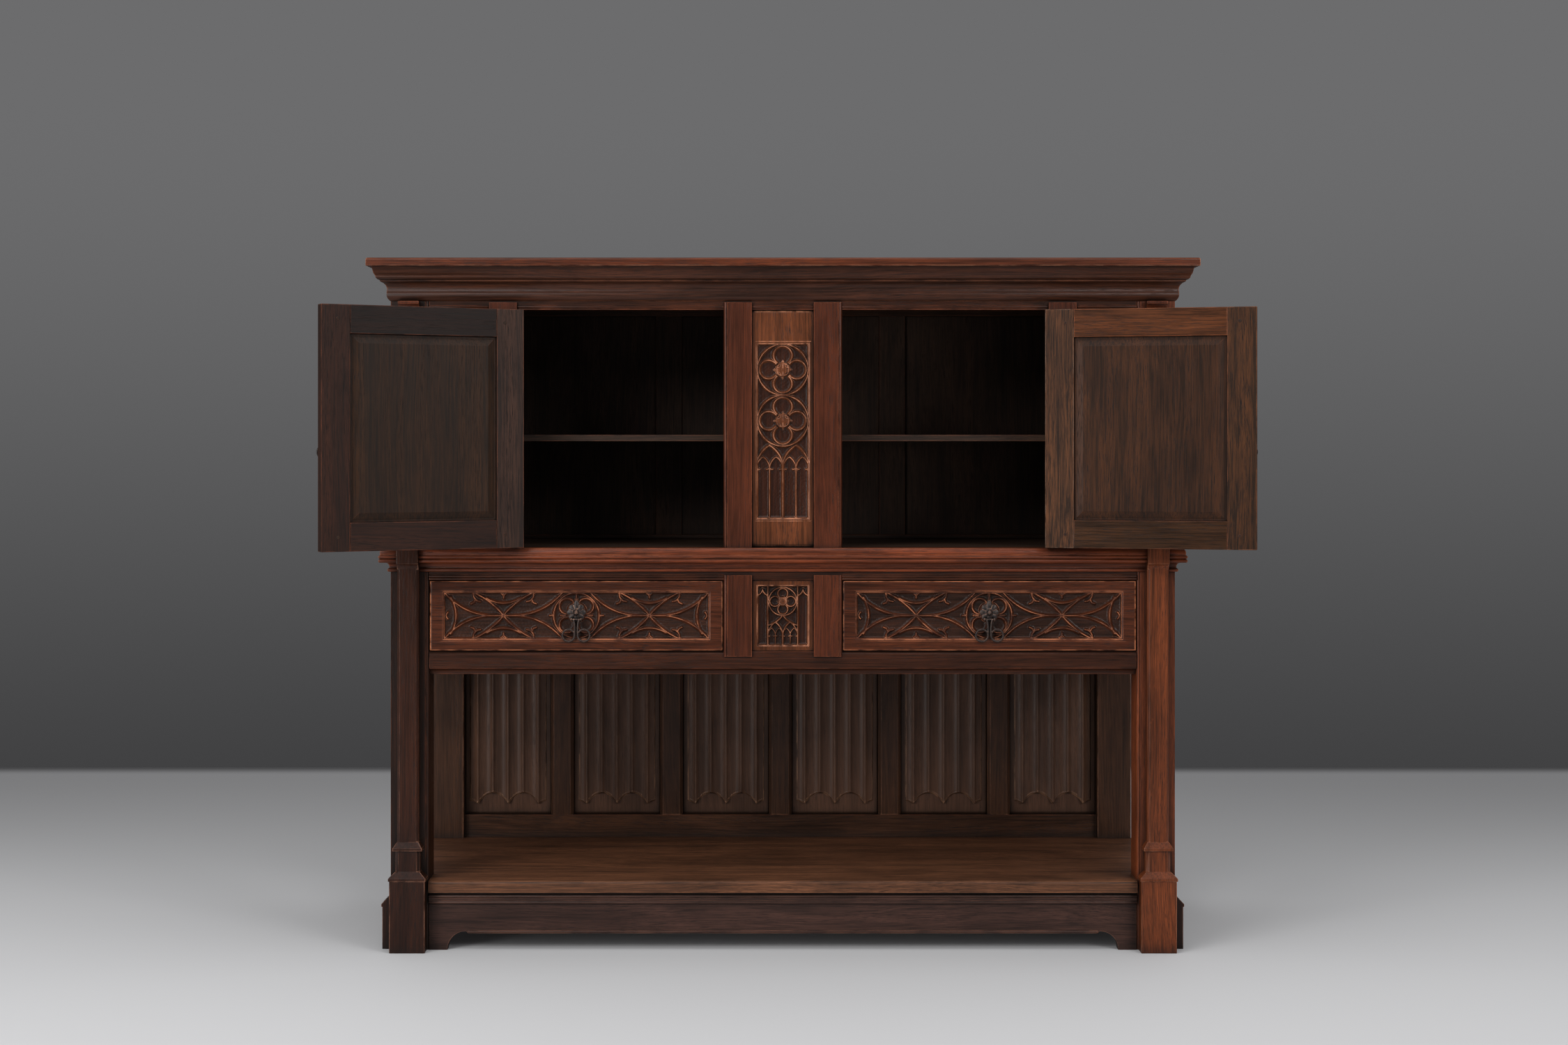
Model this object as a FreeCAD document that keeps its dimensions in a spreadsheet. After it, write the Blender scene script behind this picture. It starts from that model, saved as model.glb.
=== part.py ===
import FreeCAD
import Part

import math
import os
from types import SimpleNamespace

import Sketcher

# Court cupboard in the gothic taste, in oak.
# The origin is on the floor, at the centre of the carcass. X runs along the front, towards the
# viewer's right, Y runs from the front to the back, and Z runs up. All lengths are millimetres.
# The two doors are modelled standing open, and everything else is modelled shut.

doc = FreeCAD.newDocument("court_cupboard")

SIZES = {
    # widths along the front, from the middle outwards
    "centre_panel_half": 58.0,
    "stile_width": 53.0,
    "door_opening_width": 387.0,
    "hinge_stile_width": 52.0,
    "narrow_panel_width": 113.0,
    "post_width": 72.0,
    # depths from the origin
    "front_depth": 222.0,
    "back_depth": 256.0,
    # heights, from the floor upwards
    "plinth_clearance": 31.0,
    "plinth_height": 78.0,
    "shelf_thickness": 22.0,
    "lower_opening_height": 385.0,
    "drawer_rail_height": 44.0,
    "drawer_opening_height": 133.0,
    "waist_rail_height": 61.0,
    "door_opening_height": 446.0,
    "head_rail_height": 80.0,
    "cornice_height": 64.0,
    # posts
    "post_depth": 60.0,
    "post_bead": 5.0,
    "rear_inset": 8.0,
    "rear_post_width": 69.0,
    "rear_post_depth": 40.0,
    # buttresses on the front posts
    "buttress_offset": 35.0,
    "shaft_width": 40.0,
    "shaft_reach": 20.0,
    "shaft_chamfer": 4.0,
    "foot_width": 66.0,
    "foot_reach": 30.0,
    "foot_height": 134.0,
    "lip_overhang": 2.0,
    "lip_height": 5.0,
    "weathering_rise": 11.5,
    "block_width": 46.0,
    "block_reach": 23.0,
    "block_height": 39.0,
    "block_chamfer": 6.0,
    "offset_width": 55.0,
    "offset_reach": 27.0,
    "cap_cove": 10.0,
    "cap_overhang": 8.0,
    "cap_drop": 2.0,
    "side_foot_reach": 19.0,
    "side_foot_width": 46.0,
    "side_foot_height": 84.0,
    "side_foot_rise": 20.0,
    # pilasters above the waist
    "pilaster_width": 39.0,
    "pilaster_reach": 8.0,
    "pilaster_cap_reach": 14.0,
    "pilaster_cap_height": 20.0,
    # plinth and lower shelf
    "plinth_thickness": 24.0,
    "bracket_length": 34.0,
    "bracket_curve": 35.0,
    "bracket_lip": 4.0,
    "plinth_bead_radius": 2.0,
    "plinth_bead_lift": 3.2,
    "shelf_nose": 10.0,
    "shelf_nose_round": 6.0,
    "moulding_height": 22.0,
    "moulding_reach": 7.0,
    "moulding_groove": 5.0,
    # framed back
    "back_frame": 26.0,
    "bottom_rail_rise": 46.0,
    "muntin_width": 47.0,
    "muntin_chamfer": 6.0,
    "middle_rail_lift": 14.0,
    "middle_rail_height": 70.0,
    "upper_rail_lift": 7.0,
    "upper_rail_height": 60.0,
    "top_rail_height": 65.0,
    "back_muntin_width": 53.0,
    "back_panel": 10.0,
    # linenfold panels
    "linen_ground": 8.0,
    "linen_relief": 9.0,
    "linen_crest": 4.0,
    "linen_hollow": 6.0,
    "linen_ground_margin": 22.0,
    "linen_arch_rise": 23.0,
    # drawer stage
    "drawer_rail_ovolo": 11.0,
    "rail_chamfer": 5.0,
    "front_rail_thickness": 25.0,
    "head_bead": 5.0,
    "stile_proud": 5.0,
    "stile_bead": 5.0,
    "stile_quirk": 1.5,
    "side_inset": 6.0,
    "side_thickness": 22.0,
    "drawer_clearance": 1.5,
    "drawer_front_thickness": 20.0,
    "drawer_rear_gap": 32.0,
    "drawer_side": 12.0,
    "drawer_side_top_gap": 26.0,
    "drawer_bottom": 6.0,
    "drawer_bottom_lift": 8.0,
    "drawer_side_gap": 3.0,
    "runner_thickness": 20.0,
    "runner_ledge": 24.0,
    "runner_gap": 0.3,
    "guide_height": 30.0,
    # carving on the drawers
    "drawer_end_border": 24.0,
    "drawer_edge_border": 20.0,
    "carving_depth": 7.0,
    "carving_relief": 6.0,
    "carving_rib": 3.4,
    "roundel_gap": 1.4,
    "seat_radius": 17.0,
    # waist moulding
    "waist_nose_height": 13.0,
    "waist_nose_reach": 13.0,
    "waist_reed_height": 14.5,
    "waist_reed_reach": 17.0,
    "waist_cove_height": 10.5,
    "waist_cove_reach": 8.0,
    "waist_bead_height": 7.0,
    "waist_bead_reach": 2.5,
    # cabinet
    "stile_lap": 14.0,
    "stile_thickness": 20.0,
    "panel_recess": 8.0,
    "panel_thickness": 14.0,
    "floor_thickness": 18.0,
    "cabinet_shelf_rise": 200.0,
    "cabinet_shelf_thickness": 12.0,
    "cabinet_shelf_front": 72.0,
    "batten_size": 18.0,
    "rail_bead_lift": 3.0,
    # cornice and top
    "cornice_reach": 31.0,
    "top_overhang": 40.0,
    "top_thickness": 15.0,
    "top_back_overhang": 4.0,
    "top_round": 4.0,
    # doors
    "door_gap": 1.5,
    "door_thickness": 22.0,
    "door_stile": 53.0,
    "door_rail": 52.0,
    "door_panel_thickness": 16.0,
    "door_panel_back": 4.8,
    "door_panel_field": 13.0,
    "door_panel_slope": 4.0,
    "door_groove": 4.0,
    "left_door_angle": 153.0,
    "right_door_angle": 166.0,
    # hinges
    "hinge_pin_inset": 3.0,
    "hinge_pin_lift": 5.0,
    "hinge_pin_radius": 2.0,
    "hinge_bore_play": 0.05,
    "hinge_barrel_radius": 4.5,
    "hinge_leaf": 2.0,
    "hinge_leaf_width": 24.0,
    "hinge_leaf_gap": 1.2,
    "hinge_length": 60.0,
    "hinge_knuckle": 20.0,
    "hinge_knuckle_gap": 0.3,
    "hinge_end_distance": 72.0,
    # drop handles
    "rosette_radius": 19.0,
    "rosette_petal": 3.0,
    "rosette_thickness": 3.0,
    "rosette_boss_radius": 7.5,
    "rosette_boss_height": 6.0,
    "ear_thickness": 3.0,
    "ear_spacing": 15.0,
    "ear_half": 3.6,
    "bail_pin_radius": 1.8,
    "bail_pin_play": 0.06,
    "bail_pin_stand": 6.0,
    "bail_pin_drop": 13.0,
    "bail_wire": 2.0,
    "bail_stem": 1.7,
    "bail_stem_place": 5.0,
    "bail_ring_radius": 11.4,
    "bail_ring_drop": 30.0,
    "bail_ring_place": 14.3,
    # tracery panels
    "tracery_margin": 8.0,
    "tracery_foot": 53.0,
    "tracery_head": 62.0,
    "tracery_depth": 7.0,
    "tracery_rib": 5.0,
    "tracery_rib_depth": 6.0,
    "lancet_rise": 34.0,
    "small_margin": 9.0,
    "small_rib": 3.0,
    "small_roundel_radius": 27.0,
    "small_roundel_drop": 31.0,
    "small_spring_rise": 23.0,
    "small_lancet_rise": 22.0,
}

sheet = doc.addObject("Spreadsheet::Sheet", "Sizes")
for row, (alias, number) in enumerate(SIZES.items(), start=1):
    sheet.set(f"A{row}", alias)
    sheet.set(f"B{row}", str(number))
    sheet.setAlias(f"B{row}", alias)
doc.recompute()


class Length:
    """A length that carries its formula, for the model, and its number, for first drawing."""

    def __init__(self, formula, number):
        self.formula = formula
        self.number = number

    def __add__(self, other):
        return Length(f"{self.formula} + {other.formula}", self.number + other.number)

    def __sub__(self, other):
        return Length(f"{self.formula} - ({other.formula})", self.number - other.number)

    def __neg__(self):
        return Length(f"-({self.formula})", -self.number)

    def __mul__(self, share):
        return Length(f"({self.formula}) * {share}", self.number * share)

    def __truediv__(self, count):
        return Length(f"({self.formula}) / {count}", self.number / count)


SIZE = SimpleNamespace(**{name: Length(f"Sizes.{name}", float(sheet.get(name))) for name in SIZES})
NONE = Length("0", 0.0)
PLANE_ROLES = {"XY": "XY_Plane", "XZ": "XZ_Plane", "YZ": "YZ_Plane"}
LEFT = -1
RIGHT = 1
nodes = []

# Shares of a size, and the heights of arcs over half their chord
QUARTER_ARC_SHARE = math.tan(math.pi / 8)
ROUND_BEAD_SHARE = 0.8
CYMA_SHARE = 0.3
COVE_SHARE = 0.4
POINTED_ARCH_SHARE = 0.2
HEM_ARCH_SHARE = 0.25
CAP_CURVE_SHARE = 0.35
LINEN_PITCH_SHARE = 0.175
BACK_MUNTIN_SHARE = 0.353
CORNICE_REACH_SHARES = (0.21, 0.50, 0.57, 0.80, 0.90)
CORNICE_RISE_SHARES = (0.23, 0.29, 0.55, 0.58, 0.61, 0.72, 0.80)
ROUNDEL_SHARE = 0.972
ROUNDEL_PITCH_SHARE = 1.975
FOIL_SHARE = 0.345
FOIL_PLACE_SHARE = 0.545
ROSE_SHARE = 0.226
LANCET_INSET_SHARE = 1.4
SUB_ARCH_RISE_SHARE = 0.5
FORK_SHARE = 0.2
BRANCH_SHARE = 0.3
MULLION_SHARE = 0.67
BRANCH_ARC_SHARE = 0.22
CROSSING_SHARE = 0.546
BOWL_START_SHARE = 0.24
BOWL_END_SHARES = (0.96, 0.90)
BOWL_ARC_SHARE = 0.2
ARM_END_SHARES = (0.52, 0.99)
ARM_ARC_SHARE = 0.13
SPANDREL_SHARES = (0.27, 0.71)
SPANDREL_ARC_SHARE = 0.28
END_ARC_SHARES = (0.87, 0.71)
END_ARC_SHARE = 0.29
DIAGONAL_SHARE = math.sqrt(0.5)
SALTIRE_FOIL_SHARE = 0.333
SALTIRE_PLACE_SHARE = 0.57
UPPER_EDGE_SHARE = 0.7
FOIL_COUNT = 4
LEAF_COUNT = 8
SEAT_SIDES = 16
LEAF_SHARE = 0.6
RING_SIDES = 12
OCTAGON_SHARE = 0.55
STEM_FOOT_SHARES = (0.87, 0.5)
STEM_ARC_SHARE = 0.15


def bind(thing, path, length):
    thing.setExpression(path, length.formula)


def box(name, x_span, y_span, z_span):
    """A block between two places along each axis."""
    block = doc.addObject("Part::Box", name)
    for side, axis, (low, high) in zip(("Length", "Width", "Height"), "xyz", (x_span, y_span, z_span)):
        bind(block, side, high - low)
        bind(block, f"Placement.Base.{axis}", low)
    return block


def rod(name, axis, centre, radius, length):
    """A round bar that starts at a centre and runs along an axis."""
    turns = {
        "X": FreeCAD.Rotation(FreeCAD.Vector(0, 1, 0), 90),
        "Y": FreeCAD.Rotation(FreeCAD.Vector(1, 0, 0), -90),
        "Z": FreeCAD.Rotation(),
    }
    bar = doc.addObject("Part::Cylinder", name)
    bar.Placement = FreeCAD.Placement(FreeCAD.Vector(), turns[axis])
    bind(bar, "Radius", radius)
    bind(bar, "Height", length)
    for letter, place in zip("xyz", centre):
        bind(bar, f"Placement.Base.{letter}", place)
    return bar


def middle_of_arc(start, end, bulge):
    """The middle of the arc over a chord, where bulge is its height over half the chord."""
    along = (end[0] - start[0], end[1] - start[1])
    half = bulge / 2
    return (
        (start[0] + end[0]) / 2 - along[1] * half,
        (start[1] + end[1]) / 2 + along[0] * half,
    )


def draw_outline(sketch, outline):
    """Draws one closed outline. A corner is (x, y), or (x, y, bulge) where an arc leaves it."""
    places = [(corner[0].number, corner[1].number) for corner in outline]
    ends = []
    for index, corner in enumerate(outline):
        start = places[index]
        end = places[(index + 1) % len(places)]
        first = FreeCAD.Vector(start[0], start[1], 0)
        last = FreeCAD.Vector(end[0], end[1], 0)
        if len(corner) == 2:
            number = sketch.addGeometry(Part.LineSegment(first, last), False)
            ends.append((number, 1, 2))
            continue
        bulge = corner[2]
        mid = middle_of_arc(start, end, bulge)
        number = sketch.addGeometry(Part.Arc(first, FreeCAD.Vector(mid[0], mid[1], 0), last), False)
        # an arc is stored counter-clockwise, so one that bulges to the left runs from its end
        ends.append((number, 2, 1) if bulge > 0 else (number, 1, 2))
        following = outline[(index + 1) % len(outline)]
        across = following[0] - corner[0]
        up = following[1] - corner[1]
        factor = (1 + bulge * bulge) / (4 * abs(bulge))
        radius = math.hypot(across.number, up.number) * factor
        place = sketch.addConstraint(Sketcher.Constraint("Radius", number, radius))
        formula = f"sqrt(({across.formula})^2 + ({up.formula})^2) * {factor}"
        sketch.setExpression(f"Constraints[{place}]", formula)
    for index, (number, first, last) in enumerate(ends):
        following = ends[(index + 1) % len(ends)]
        sketch.addConstraint(Sketcher.Constraint("Coincident", number, last, following[0], following[1]))
        for kind, length in zip(("DistanceX", "DistanceY"), outline[index][:2]):
            place = sketch.addConstraint(Sketcher.Constraint(kind, -1, 1, number, first, length.number))
            sketch.setExpression(f"Constraints[{place}]", length.formula)


def sketch_on(body, plane, outlines, start):
    """A sketch on one of the body's own planes, moved along that plane's axis to start."""
    sketch = body.newObject("Sketcher::SketchObject", f"{body.Name}_outline")
    role = PLANE_ROLES[plane]
    origin_plane = next(p for p in body.Origin.OriginFeatures if getattr(p, "Role", "") == role)
    sketch.AttachmentSupport = [(origin_plane, "")]
    sketch.MapMode = "FlatFace"
    # the normal of the XZ plane points to the front, against the Y axis
    bind(sketch, "AttachmentOffset.Base.z", -start if plane == "XZ" else start)
    for outline in outlines:
        draw_outline(sketch, outline)
    return sketch


def pad(name, plane, outlines, start, length):
    """A body that runs from start over a length along the axis square to its plane."""
    body = doc.addObject("PartDesign::Body", name)
    sketch = sketch_on(body, plane, outlines, start)
    feature = body.newObject("PartDesign::Pad", f"{name}_pad")
    feature.Profile = sketch
    feature.Reversed = plane == "XZ"
    bind(feature, "Length", length)
    body.Tip = feature
    return body


def fuse(name, shapes):
    joined = doc.addObject("Part::MultiFuse", name)
    joined.Shapes = shapes
    return joined


def cut(name, base, tool):
    remains = doc.addObject("Part::Cut", name)
    remains.Base = base
    remains.Tool = tool
    return remains


def common(name, shapes):
    shared = doc.addObject("Part::MultiCommon", name)
    shared.Shapes = shapes
    return shared


def node(label, shapes):
    """Names a sub-part. Several separate solids are held together as one group."""
    if len(shapes) == 1:
        part = shapes[0]
    else:
        part = doc.addObject("Part::Compound", f"{label}_group")
        part.Links = shapes
    part.Label = label
    nodes.append(part)
    return part


def mirrored_span(side, inner, outer):
    """The span between two distances from the centre line, on one side of it."""
    return (inner, outer) if side == RIGHT else (-outer, -inner)


def mirrored(side, outline):
    """An outline that is drawn for the right side, on either side."""
    if side == RIGHT:
        return outline
    return [tuple([-corner[0], corner[1]] + [-bulge for bulge in corner[2:]]) for corner in outline]


def side_name(side):
    return "left" if side == LEFT else "right"


def turned_line(angle, length, share):
    """The two parts of a length at right angles to a direction, times a share."""
    return (length * (-math.sin(angle) * share), length * (math.cos(angle) * share))


def ring_of_points(x, z, radius, count, turn_share):
    """Points at even steps round a circle, the first turned by a share of a step."""
    points = []
    for index in range(count):
        angle = 2 * math.pi * (index + turn_share) / count
        points.append((x + radius * math.cos(angle), z + radius * math.sin(angle)))
    return points


def star(x, z, tip, root, count):
    """A ring of pointed petals, with its first tip half a step from the X axis."""
    pairs = zip(ring_of_points(x, z, root, count, 0), ring_of_points(x, z, tip, count, 1 / 2))
    return [point for pair in pairs for point in pair]


def rib_outline(start, end, bulge, width):
    """A band of even width along the arc from start to end."""
    chord = math.atan2((end[1] - start[1]).number, (end[0] - start[0]).number)
    half_turn = 2 * math.atan(bulge)
    first = turned_line(chord + half_turn, width, 1 / 2)
    last = turned_line(chord - half_turn, width, 1 / 2)
    outer = (-bulge,) if bulge else ()
    inner = (bulge,) if bulge else ()
    return [
        (start[0] - first[0], start[1] - first[1]) + inner,
        (end[0] - last[0], end[1] - last[1]),
        (end[0] + last[0], end[1] + last[1]) + outer,
        (start[0] + first[0], start[1] + first[1]),
    ]


def mitred(name, section, corners, start):
    """A moulding swept round corners, from its section in the plane across the first run."""
    body = doc.addObject("PartDesign::Body", f"{name}_body")
    profile = sketch_on(body, "XZ", [section], start)
    path = body.newObject("Sketcher::SketchObject", f"{name}_path")
    plane = next(p for p in body.Origin.OriginFeatures if getattr(p, "Role", "") == "XY_Plane")
    path.AttachmentSupport = [(plane, "")]
    path.MapMode = "FlatFace"
    vectors = [FreeCAD.Vector(x.number, y.number, 0) for x, y in corners]
    for first, last in zip(vectors, vectors[1:]):
        path.addGeometry(Part.LineSegment(first, last), False)
    last_run = len(vectors) - 2
    for index in range(last_run):
        path.addConstraint(Sketcher.Constraint("Coincident", index, 2, index + 1, 1))
    ends = [(0, 1)] + [(index, 2) for index in range(last_run + 1)]
    for (number, point), corner in zip(ends, corners):
        for kind, length in zip(("DistanceX", "DistanceY"), corner):
            place = path.addConstraint(Sketcher.Constraint(kind, -1, 1, number, point, length.number))
            path.setExpression(f"Constraints[{place}]", length.formula)
    sweep = body.newObject("PartDesign::AdditivePipe", f"{name}_sweep")
    sweep.Profile = profile
    sweep.Spine = path
    sweep.Transition = "Right corner"
    body.Tip = sweep
    return body


def round_edges(body, radius, chosen):
    """Rounds the edges of a body's last feature that a test picks by their middles."""
    doc.recompute()
    feature = body.Tip
    edges = enumerate(feature.Shape.Edges, start=1)
    names = [f"Edge{index}" for index, edge in edges if chosen(edge.CenterOfMass)]
    rounding = body.newObject("PartDesign::Fillet", f"{body.Name}_round")
    rounding.Base = (feature, names)
    bind(rounding, "Radius", radius)
    body.Tip = rounding


# Places that several pieces share, across the front
FRONT = -SIZE.front_depth
BACK = SIZE.back_depth
STILE_INNER = SIZE.centre_panel_half
STILE_OUTER = STILE_INNER + SIZE.stile_width
HINGE_STILE_INNER = STILE_OUTER + SIZE.door_opening_width
HINGE_STILE_OUTER = HINGE_STILE_INNER + SIZE.hinge_stile_width
POST_INNER = HINGE_STILE_OUTER + SIZE.narrow_panel_width
HALF_WIDTH = POST_INNER + SIZE.post_width
REAR_OUTER = HALF_WIDTH - SIZE.rear_inset
REAR_INNER = REAR_OUTER - SIZE.rear_post_width
SIDE_OUTER = HALF_WIDTH - SIZE.side_inset
SIDE_INNER = SIDE_OUTER - SIZE.side_thickness
SIDE_PANEL_INNER = (SIDE_INNER + SIDE_OUTER) / 2 - SIZE.back_panel / 2
BUTTRESS_MIDDLE = HALF_WIDTH - SIZE.buttress_offset

# from the front to the back
POST_BACK = FRONT + SIZE.post_depth
REAR_FRONT = BACK - SIZE.rear_post_depth
BACK_FRONT = BACK - SIZE.back_frame
RAIL_BACK = FRONT + SIZE.front_rail_thickness
STILE_FRONT = FRONT - SIZE.stile_proud
STILE_BACK = FRONT + SIZE.stile_thickness

# and from the floor upwards
SHELF_LOW = SIZE.plinth_clearance + SIZE.plinth_height
SHELF_TOP = SHELF_LOW + SIZE.shelf_thickness
DRAWER_RAIL_LOW = SHELF_TOP + SIZE.lower_opening_height
DRAWER_RAIL_HIGH = DRAWER_RAIL_LOW + SIZE.drawer_rail_height
DRAWER_HEAD = DRAWER_RAIL_HIGH + SIZE.drawer_opening_height
WAIST_TOP = DRAWER_HEAD + SIZE.waist_rail_height
DOOR_HEAD = WAIST_TOP + SIZE.door_opening_height
CARCASS_TOP = DOOR_HEAD + SIZE.head_rail_height
CORNICE_LOW = CARCASS_TOP - SIZE.cornice_height
CAP_LOW = WAIST_TOP - SIZE.waist_nose_height - SIZE.waist_reed_height - SIZE.cap_drop
WAIST_LOW = (
    WAIST_TOP - SIZE.waist_nose_height - SIZE.waist_reed_height
    - SIZE.waist_cove_height - SIZE.waist_bead_height
)


# Front posts and their buttresses

def beaded_section(edge, far, front, back, bead):
    """The cut through an upright with a bead and a quirk on the front corner at its edge."""
    inwards = 1 if far.number > edge.number else -1
    bead_end = edge + bead * inwards
    quirk_end = bead_end + SIZE.stile_quirk * inwards
    return [
        (edge, back),
        (edge, front + bead, -QUARTER_ARC_SHARE * inwards),
        (bead_end, front),
        (bead_end, front + SIZE.stile_quirk),
        (quirk_end, front + SIZE.stile_quirk),
        (quirk_end, front),
        (far, front),
        (far, back),
    ]


def front_post(side):
    label = f"{side_name(side)}_front_post"
    section = beaded_section(POST_INNER, HALF_WIDTH, FRONT, POST_BACK, SIZE.post_bead)
    node(label, [pad(f"{label}_bar", "XY", [mirrored(side, section)], NONE, CARCASS_TOP)])


def weathering(name, middle, low, rise, width_low, width_high, reach_low, reach_high):
    """A block on the front of a post whose front and two sides slope."""
    slope = doc.addObject("Part::Wedge", name)
    slope.Placement = FreeCAD.Placement(
        FreeCAD.Vector(), FreeCAD.Rotation(FreeCAD.Vector(1, 0, 0), 90)
    )
    bind(slope, "Xmin", -width_low / 2)
    bind(slope, "Xmax", width_low / 2)
    bind(slope, "X2min", -width_high / 2)
    bind(slope, "X2max", width_high / 2)
    bind(slope, "Ymin", NONE)
    bind(slope, "Ymax", rise)
    bind(slope, "Zmin", NONE)
    bind(slope, "Z2min", NONE)
    bind(slope, "Zmax", reach_low)
    bind(slope, "Z2max", reach_high)
    bind(slope, "Placement.Base.x", middle)
    bind(slope, "Placement.Base.y", FRONT)
    bind(slope, "Placement.Base.z", low)
    return slope


def chamfered_bar(name, middle, width, reach, chamfer, low, high):
    """A bar on the front of a post with its two front edges chamfered."""
    half = width / 2
    face = FRONT - reach
    outline = [
        (middle - half, FRONT),
        (middle + half, FRONT),
        (middle + half, face + chamfer),
        (middle + half - chamfer, face),
        (middle - half + chamfer, face),
        (middle - half, face + chamfer),
    ]
    return pad(name, "XY", [outline], low, high - low)


def buttress_middle(side):
    return BUTTRESS_MIDDLE if side == RIGHT else -BUTTRESS_MIDDLE


def buttress(side):
    """Foot, two weathered set-offs, chamfered shaft and coved cap, worked from one timber."""
    label = f"{side_name(side)}_buttress"
    middle = buttress_middle(side)
    overhang = SIZE.lip_overhang * 2
    foot_top = SIZE.foot_height
    lower_slope = foot_top + SIZE.lip_height
    block_low = lower_slope + SIZE.weathering_rise
    block_top = block_low + SIZE.block_height
    upper_slope = block_top + SIZE.lip_height
    shaft_low = upper_slope + SIZE.weathering_rise
    cove_low = CAP_LOW - SIZE.cap_cove
    shaft_face = FRONT - SIZE.shaft_reach
    cap_face = shaft_face - SIZE.cap_overhang

    def block(piece, width, reach, low, high):
        x_span = (middle - width / 2, middle + width / 2)
        return box(f"{label}_{piece}", x_span, (FRONT - reach, FRONT), (low, high))

    cap_section = [
        (FRONT, cove_low),
        (FRONT, WAIST_TOP),
        (cap_face, WAIST_TOP),
        (cap_face, CAP_LOW, CAP_CURVE_SHARE),
        (shaft_face, cove_low),
    ]
    pieces = [
        block("foot", SIZE.foot_width, SIZE.foot_reach, NONE, foot_top),
        block(
            "lower_lip", SIZE.foot_width + overhang, SIZE.foot_reach + SIZE.lip_overhang,
            foot_top, lower_slope,
        ),
        weathering(
            f"{label}_lower_slope", middle, lower_slope, SIZE.weathering_rise,
            SIZE.foot_width + overhang, SIZE.block_width,
            SIZE.foot_reach + SIZE.lip_overhang, SIZE.block_reach,
        ),
        chamfered_bar(
            f"{label}_block", middle, SIZE.block_width, SIZE.block_reach, SIZE.block_chamfer,
            block_low, block_top,
        ),
        block("upper_lip", SIZE.offset_width, SIZE.offset_reach, block_top, upper_slope),
        weathering(
            f"{label}_upper_slope", middle, upper_slope, SIZE.weathering_rise,
            SIZE.offset_width, SIZE.shaft_width, SIZE.offset_reach, SIZE.shaft_reach,
        ),
        chamfered_bar(
            f"{label}_shaft", middle, SIZE.shaft_width, SIZE.shaft_reach, SIZE.shaft_chamfer,
            shaft_low, cove_low,
        ),
        pad(f"{label}_cap", "YZ", [cap_section], middle - SIZE.shaft_width / 2, SIZE.shaft_width),
    ]
    node(label, [fuse(f"{label}_solid", pieces)])


def side_feet():
    """A low foot with a lip and a sloped top on the outer side of each front post."""
    middle = FRONT + SIZE.post_depth / 2
    outer = HALF_WIDTH + SIZE.side_foot_reach
    lip_low = SIZE.side_foot_height - SIZE.lip_height
    outline = [
        (HALF_WIDTH, NONE),
        (outer - SIZE.lip_overhang, NONE),
        (outer - SIZE.lip_overhang, lip_low),
        (outer, lip_low),
        (outer, SIZE.side_foot_height),
        (HALF_WIDTH, SIZE.side_foot_height + SIZE.side_foot_rise),
    ]
    feet = [
        pad(
            f"{side_name(side)}_side_foot", "XZ", [mirrored(side, outline)],
            middle - SIZE.side_foot_width / 2, SIZE.side_foot_width,
        )
        for side in (LEFT, RIGHT)
    ]
    node("side_feet", feet)


def pilasters():
    """Flat pilasters on the posts above the waist, each with a coved cap."""
    cap = CORNICE_LOW - SIZE.pilaster_cap_height
    outline = [
        (FRONT, WAIST_TOP),
        (FRONT, CORNICE_LOW),
        (FRONT - SIZE.pilaster_cap_reach, CORNICE_LOW),
        (FRONT - SIZE.pilaster_cap_reach, CORNICE_LOW - SIZE.lip_height, CAP_CURVE_SHARE),
        (FRONT - SIZE.pilaster_reach, cap),
        (FRONT - SIZE.pilaster_reach, WAIST_TOP),
    ]
    pieces = []
    for side in (LEFT, RIGHT):
        start = buttress_middle(side) - SIZE.pilaster_width / 2
        pieces.append(pad(f"{side_name(side)}_pilaster", "YZ", [outline], start, SIZE.pilaster_width))
    node("pilasters", pieces)


def rear_posts():
    posts = []
    for side in (LEFT, RIGHT):
        x_span = mirrored_span(side, REAR_INNER, REAR_OUTER)
        z_span = (NONE, CARCASS_TOP)
        posts.append(box(f"{side_name(side)}_rear_post", x_span, (REAR_FRONT, BACK), z_span))
    node("rear_posts", posts)


# Plinth and lower shelf

def plinth_front():
    """The front rail between the feet: a bracket and a curve at each end, a bead along it."""
    inner = POST_INNER - SIZE.bracket_length
    curve_end = inner - SIZE.bracket_curve
    lip = SIZE.plinth_clearance + SIZE.bracket_lip
    right = [
        (curve_end - SIZE.bracket_lip, SIZE.plinth_clearance),
        (curve_end, lip, QUARTER_ARC_SHARE),
        (inner, NONE),
        (POST_INNER, NONE),
        (POST_INNER, SHELF_LOW),
    ]
    left = [
        (-POST_INNER, SHELF_LOW),
        (-POST_INNER, NONE),
        (-inner, NONE, QUARTER_ARC_SHARE),
        (-curve_end, lip),
        (-curve_end + SIZE.bracket_lip, SIZE.plinth_clearance),
    ]
    rail = pad("plinth_front_rail", "XZ", [right + left], FRONT, SIZE.plinth_thickness)
    bead_end = curve_end - SIZE.bracket_lip
    bead_height = SIZE.plinth_clearance + SIZE.plinth_bead_lift
    bead = rod(
        "plinth_bead", "X", (-bead_end, FRONT, bead_height), SIZE.plinth_bead_radius, bead_end * 2
    )
    node("plinth_front", [fuse("plinth_front_solid", [rail, bead])])


def plinth_sides():
    rails = []
    for side in (LEFT, RIGHT):
        x_span = mirrored_span(side, SIDE_OUTER - SIZE.plinth_thickness, SIDE_OUTER)
        z_span = (SIZE.plinth_clearance, SHELF_LOW)
        rails.append(box(f"{side_name(side)}_plinth_side", x_span, (POST_BACK, REAR_FRONT), z_span))
    node("plinth_sides", rails)


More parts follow.
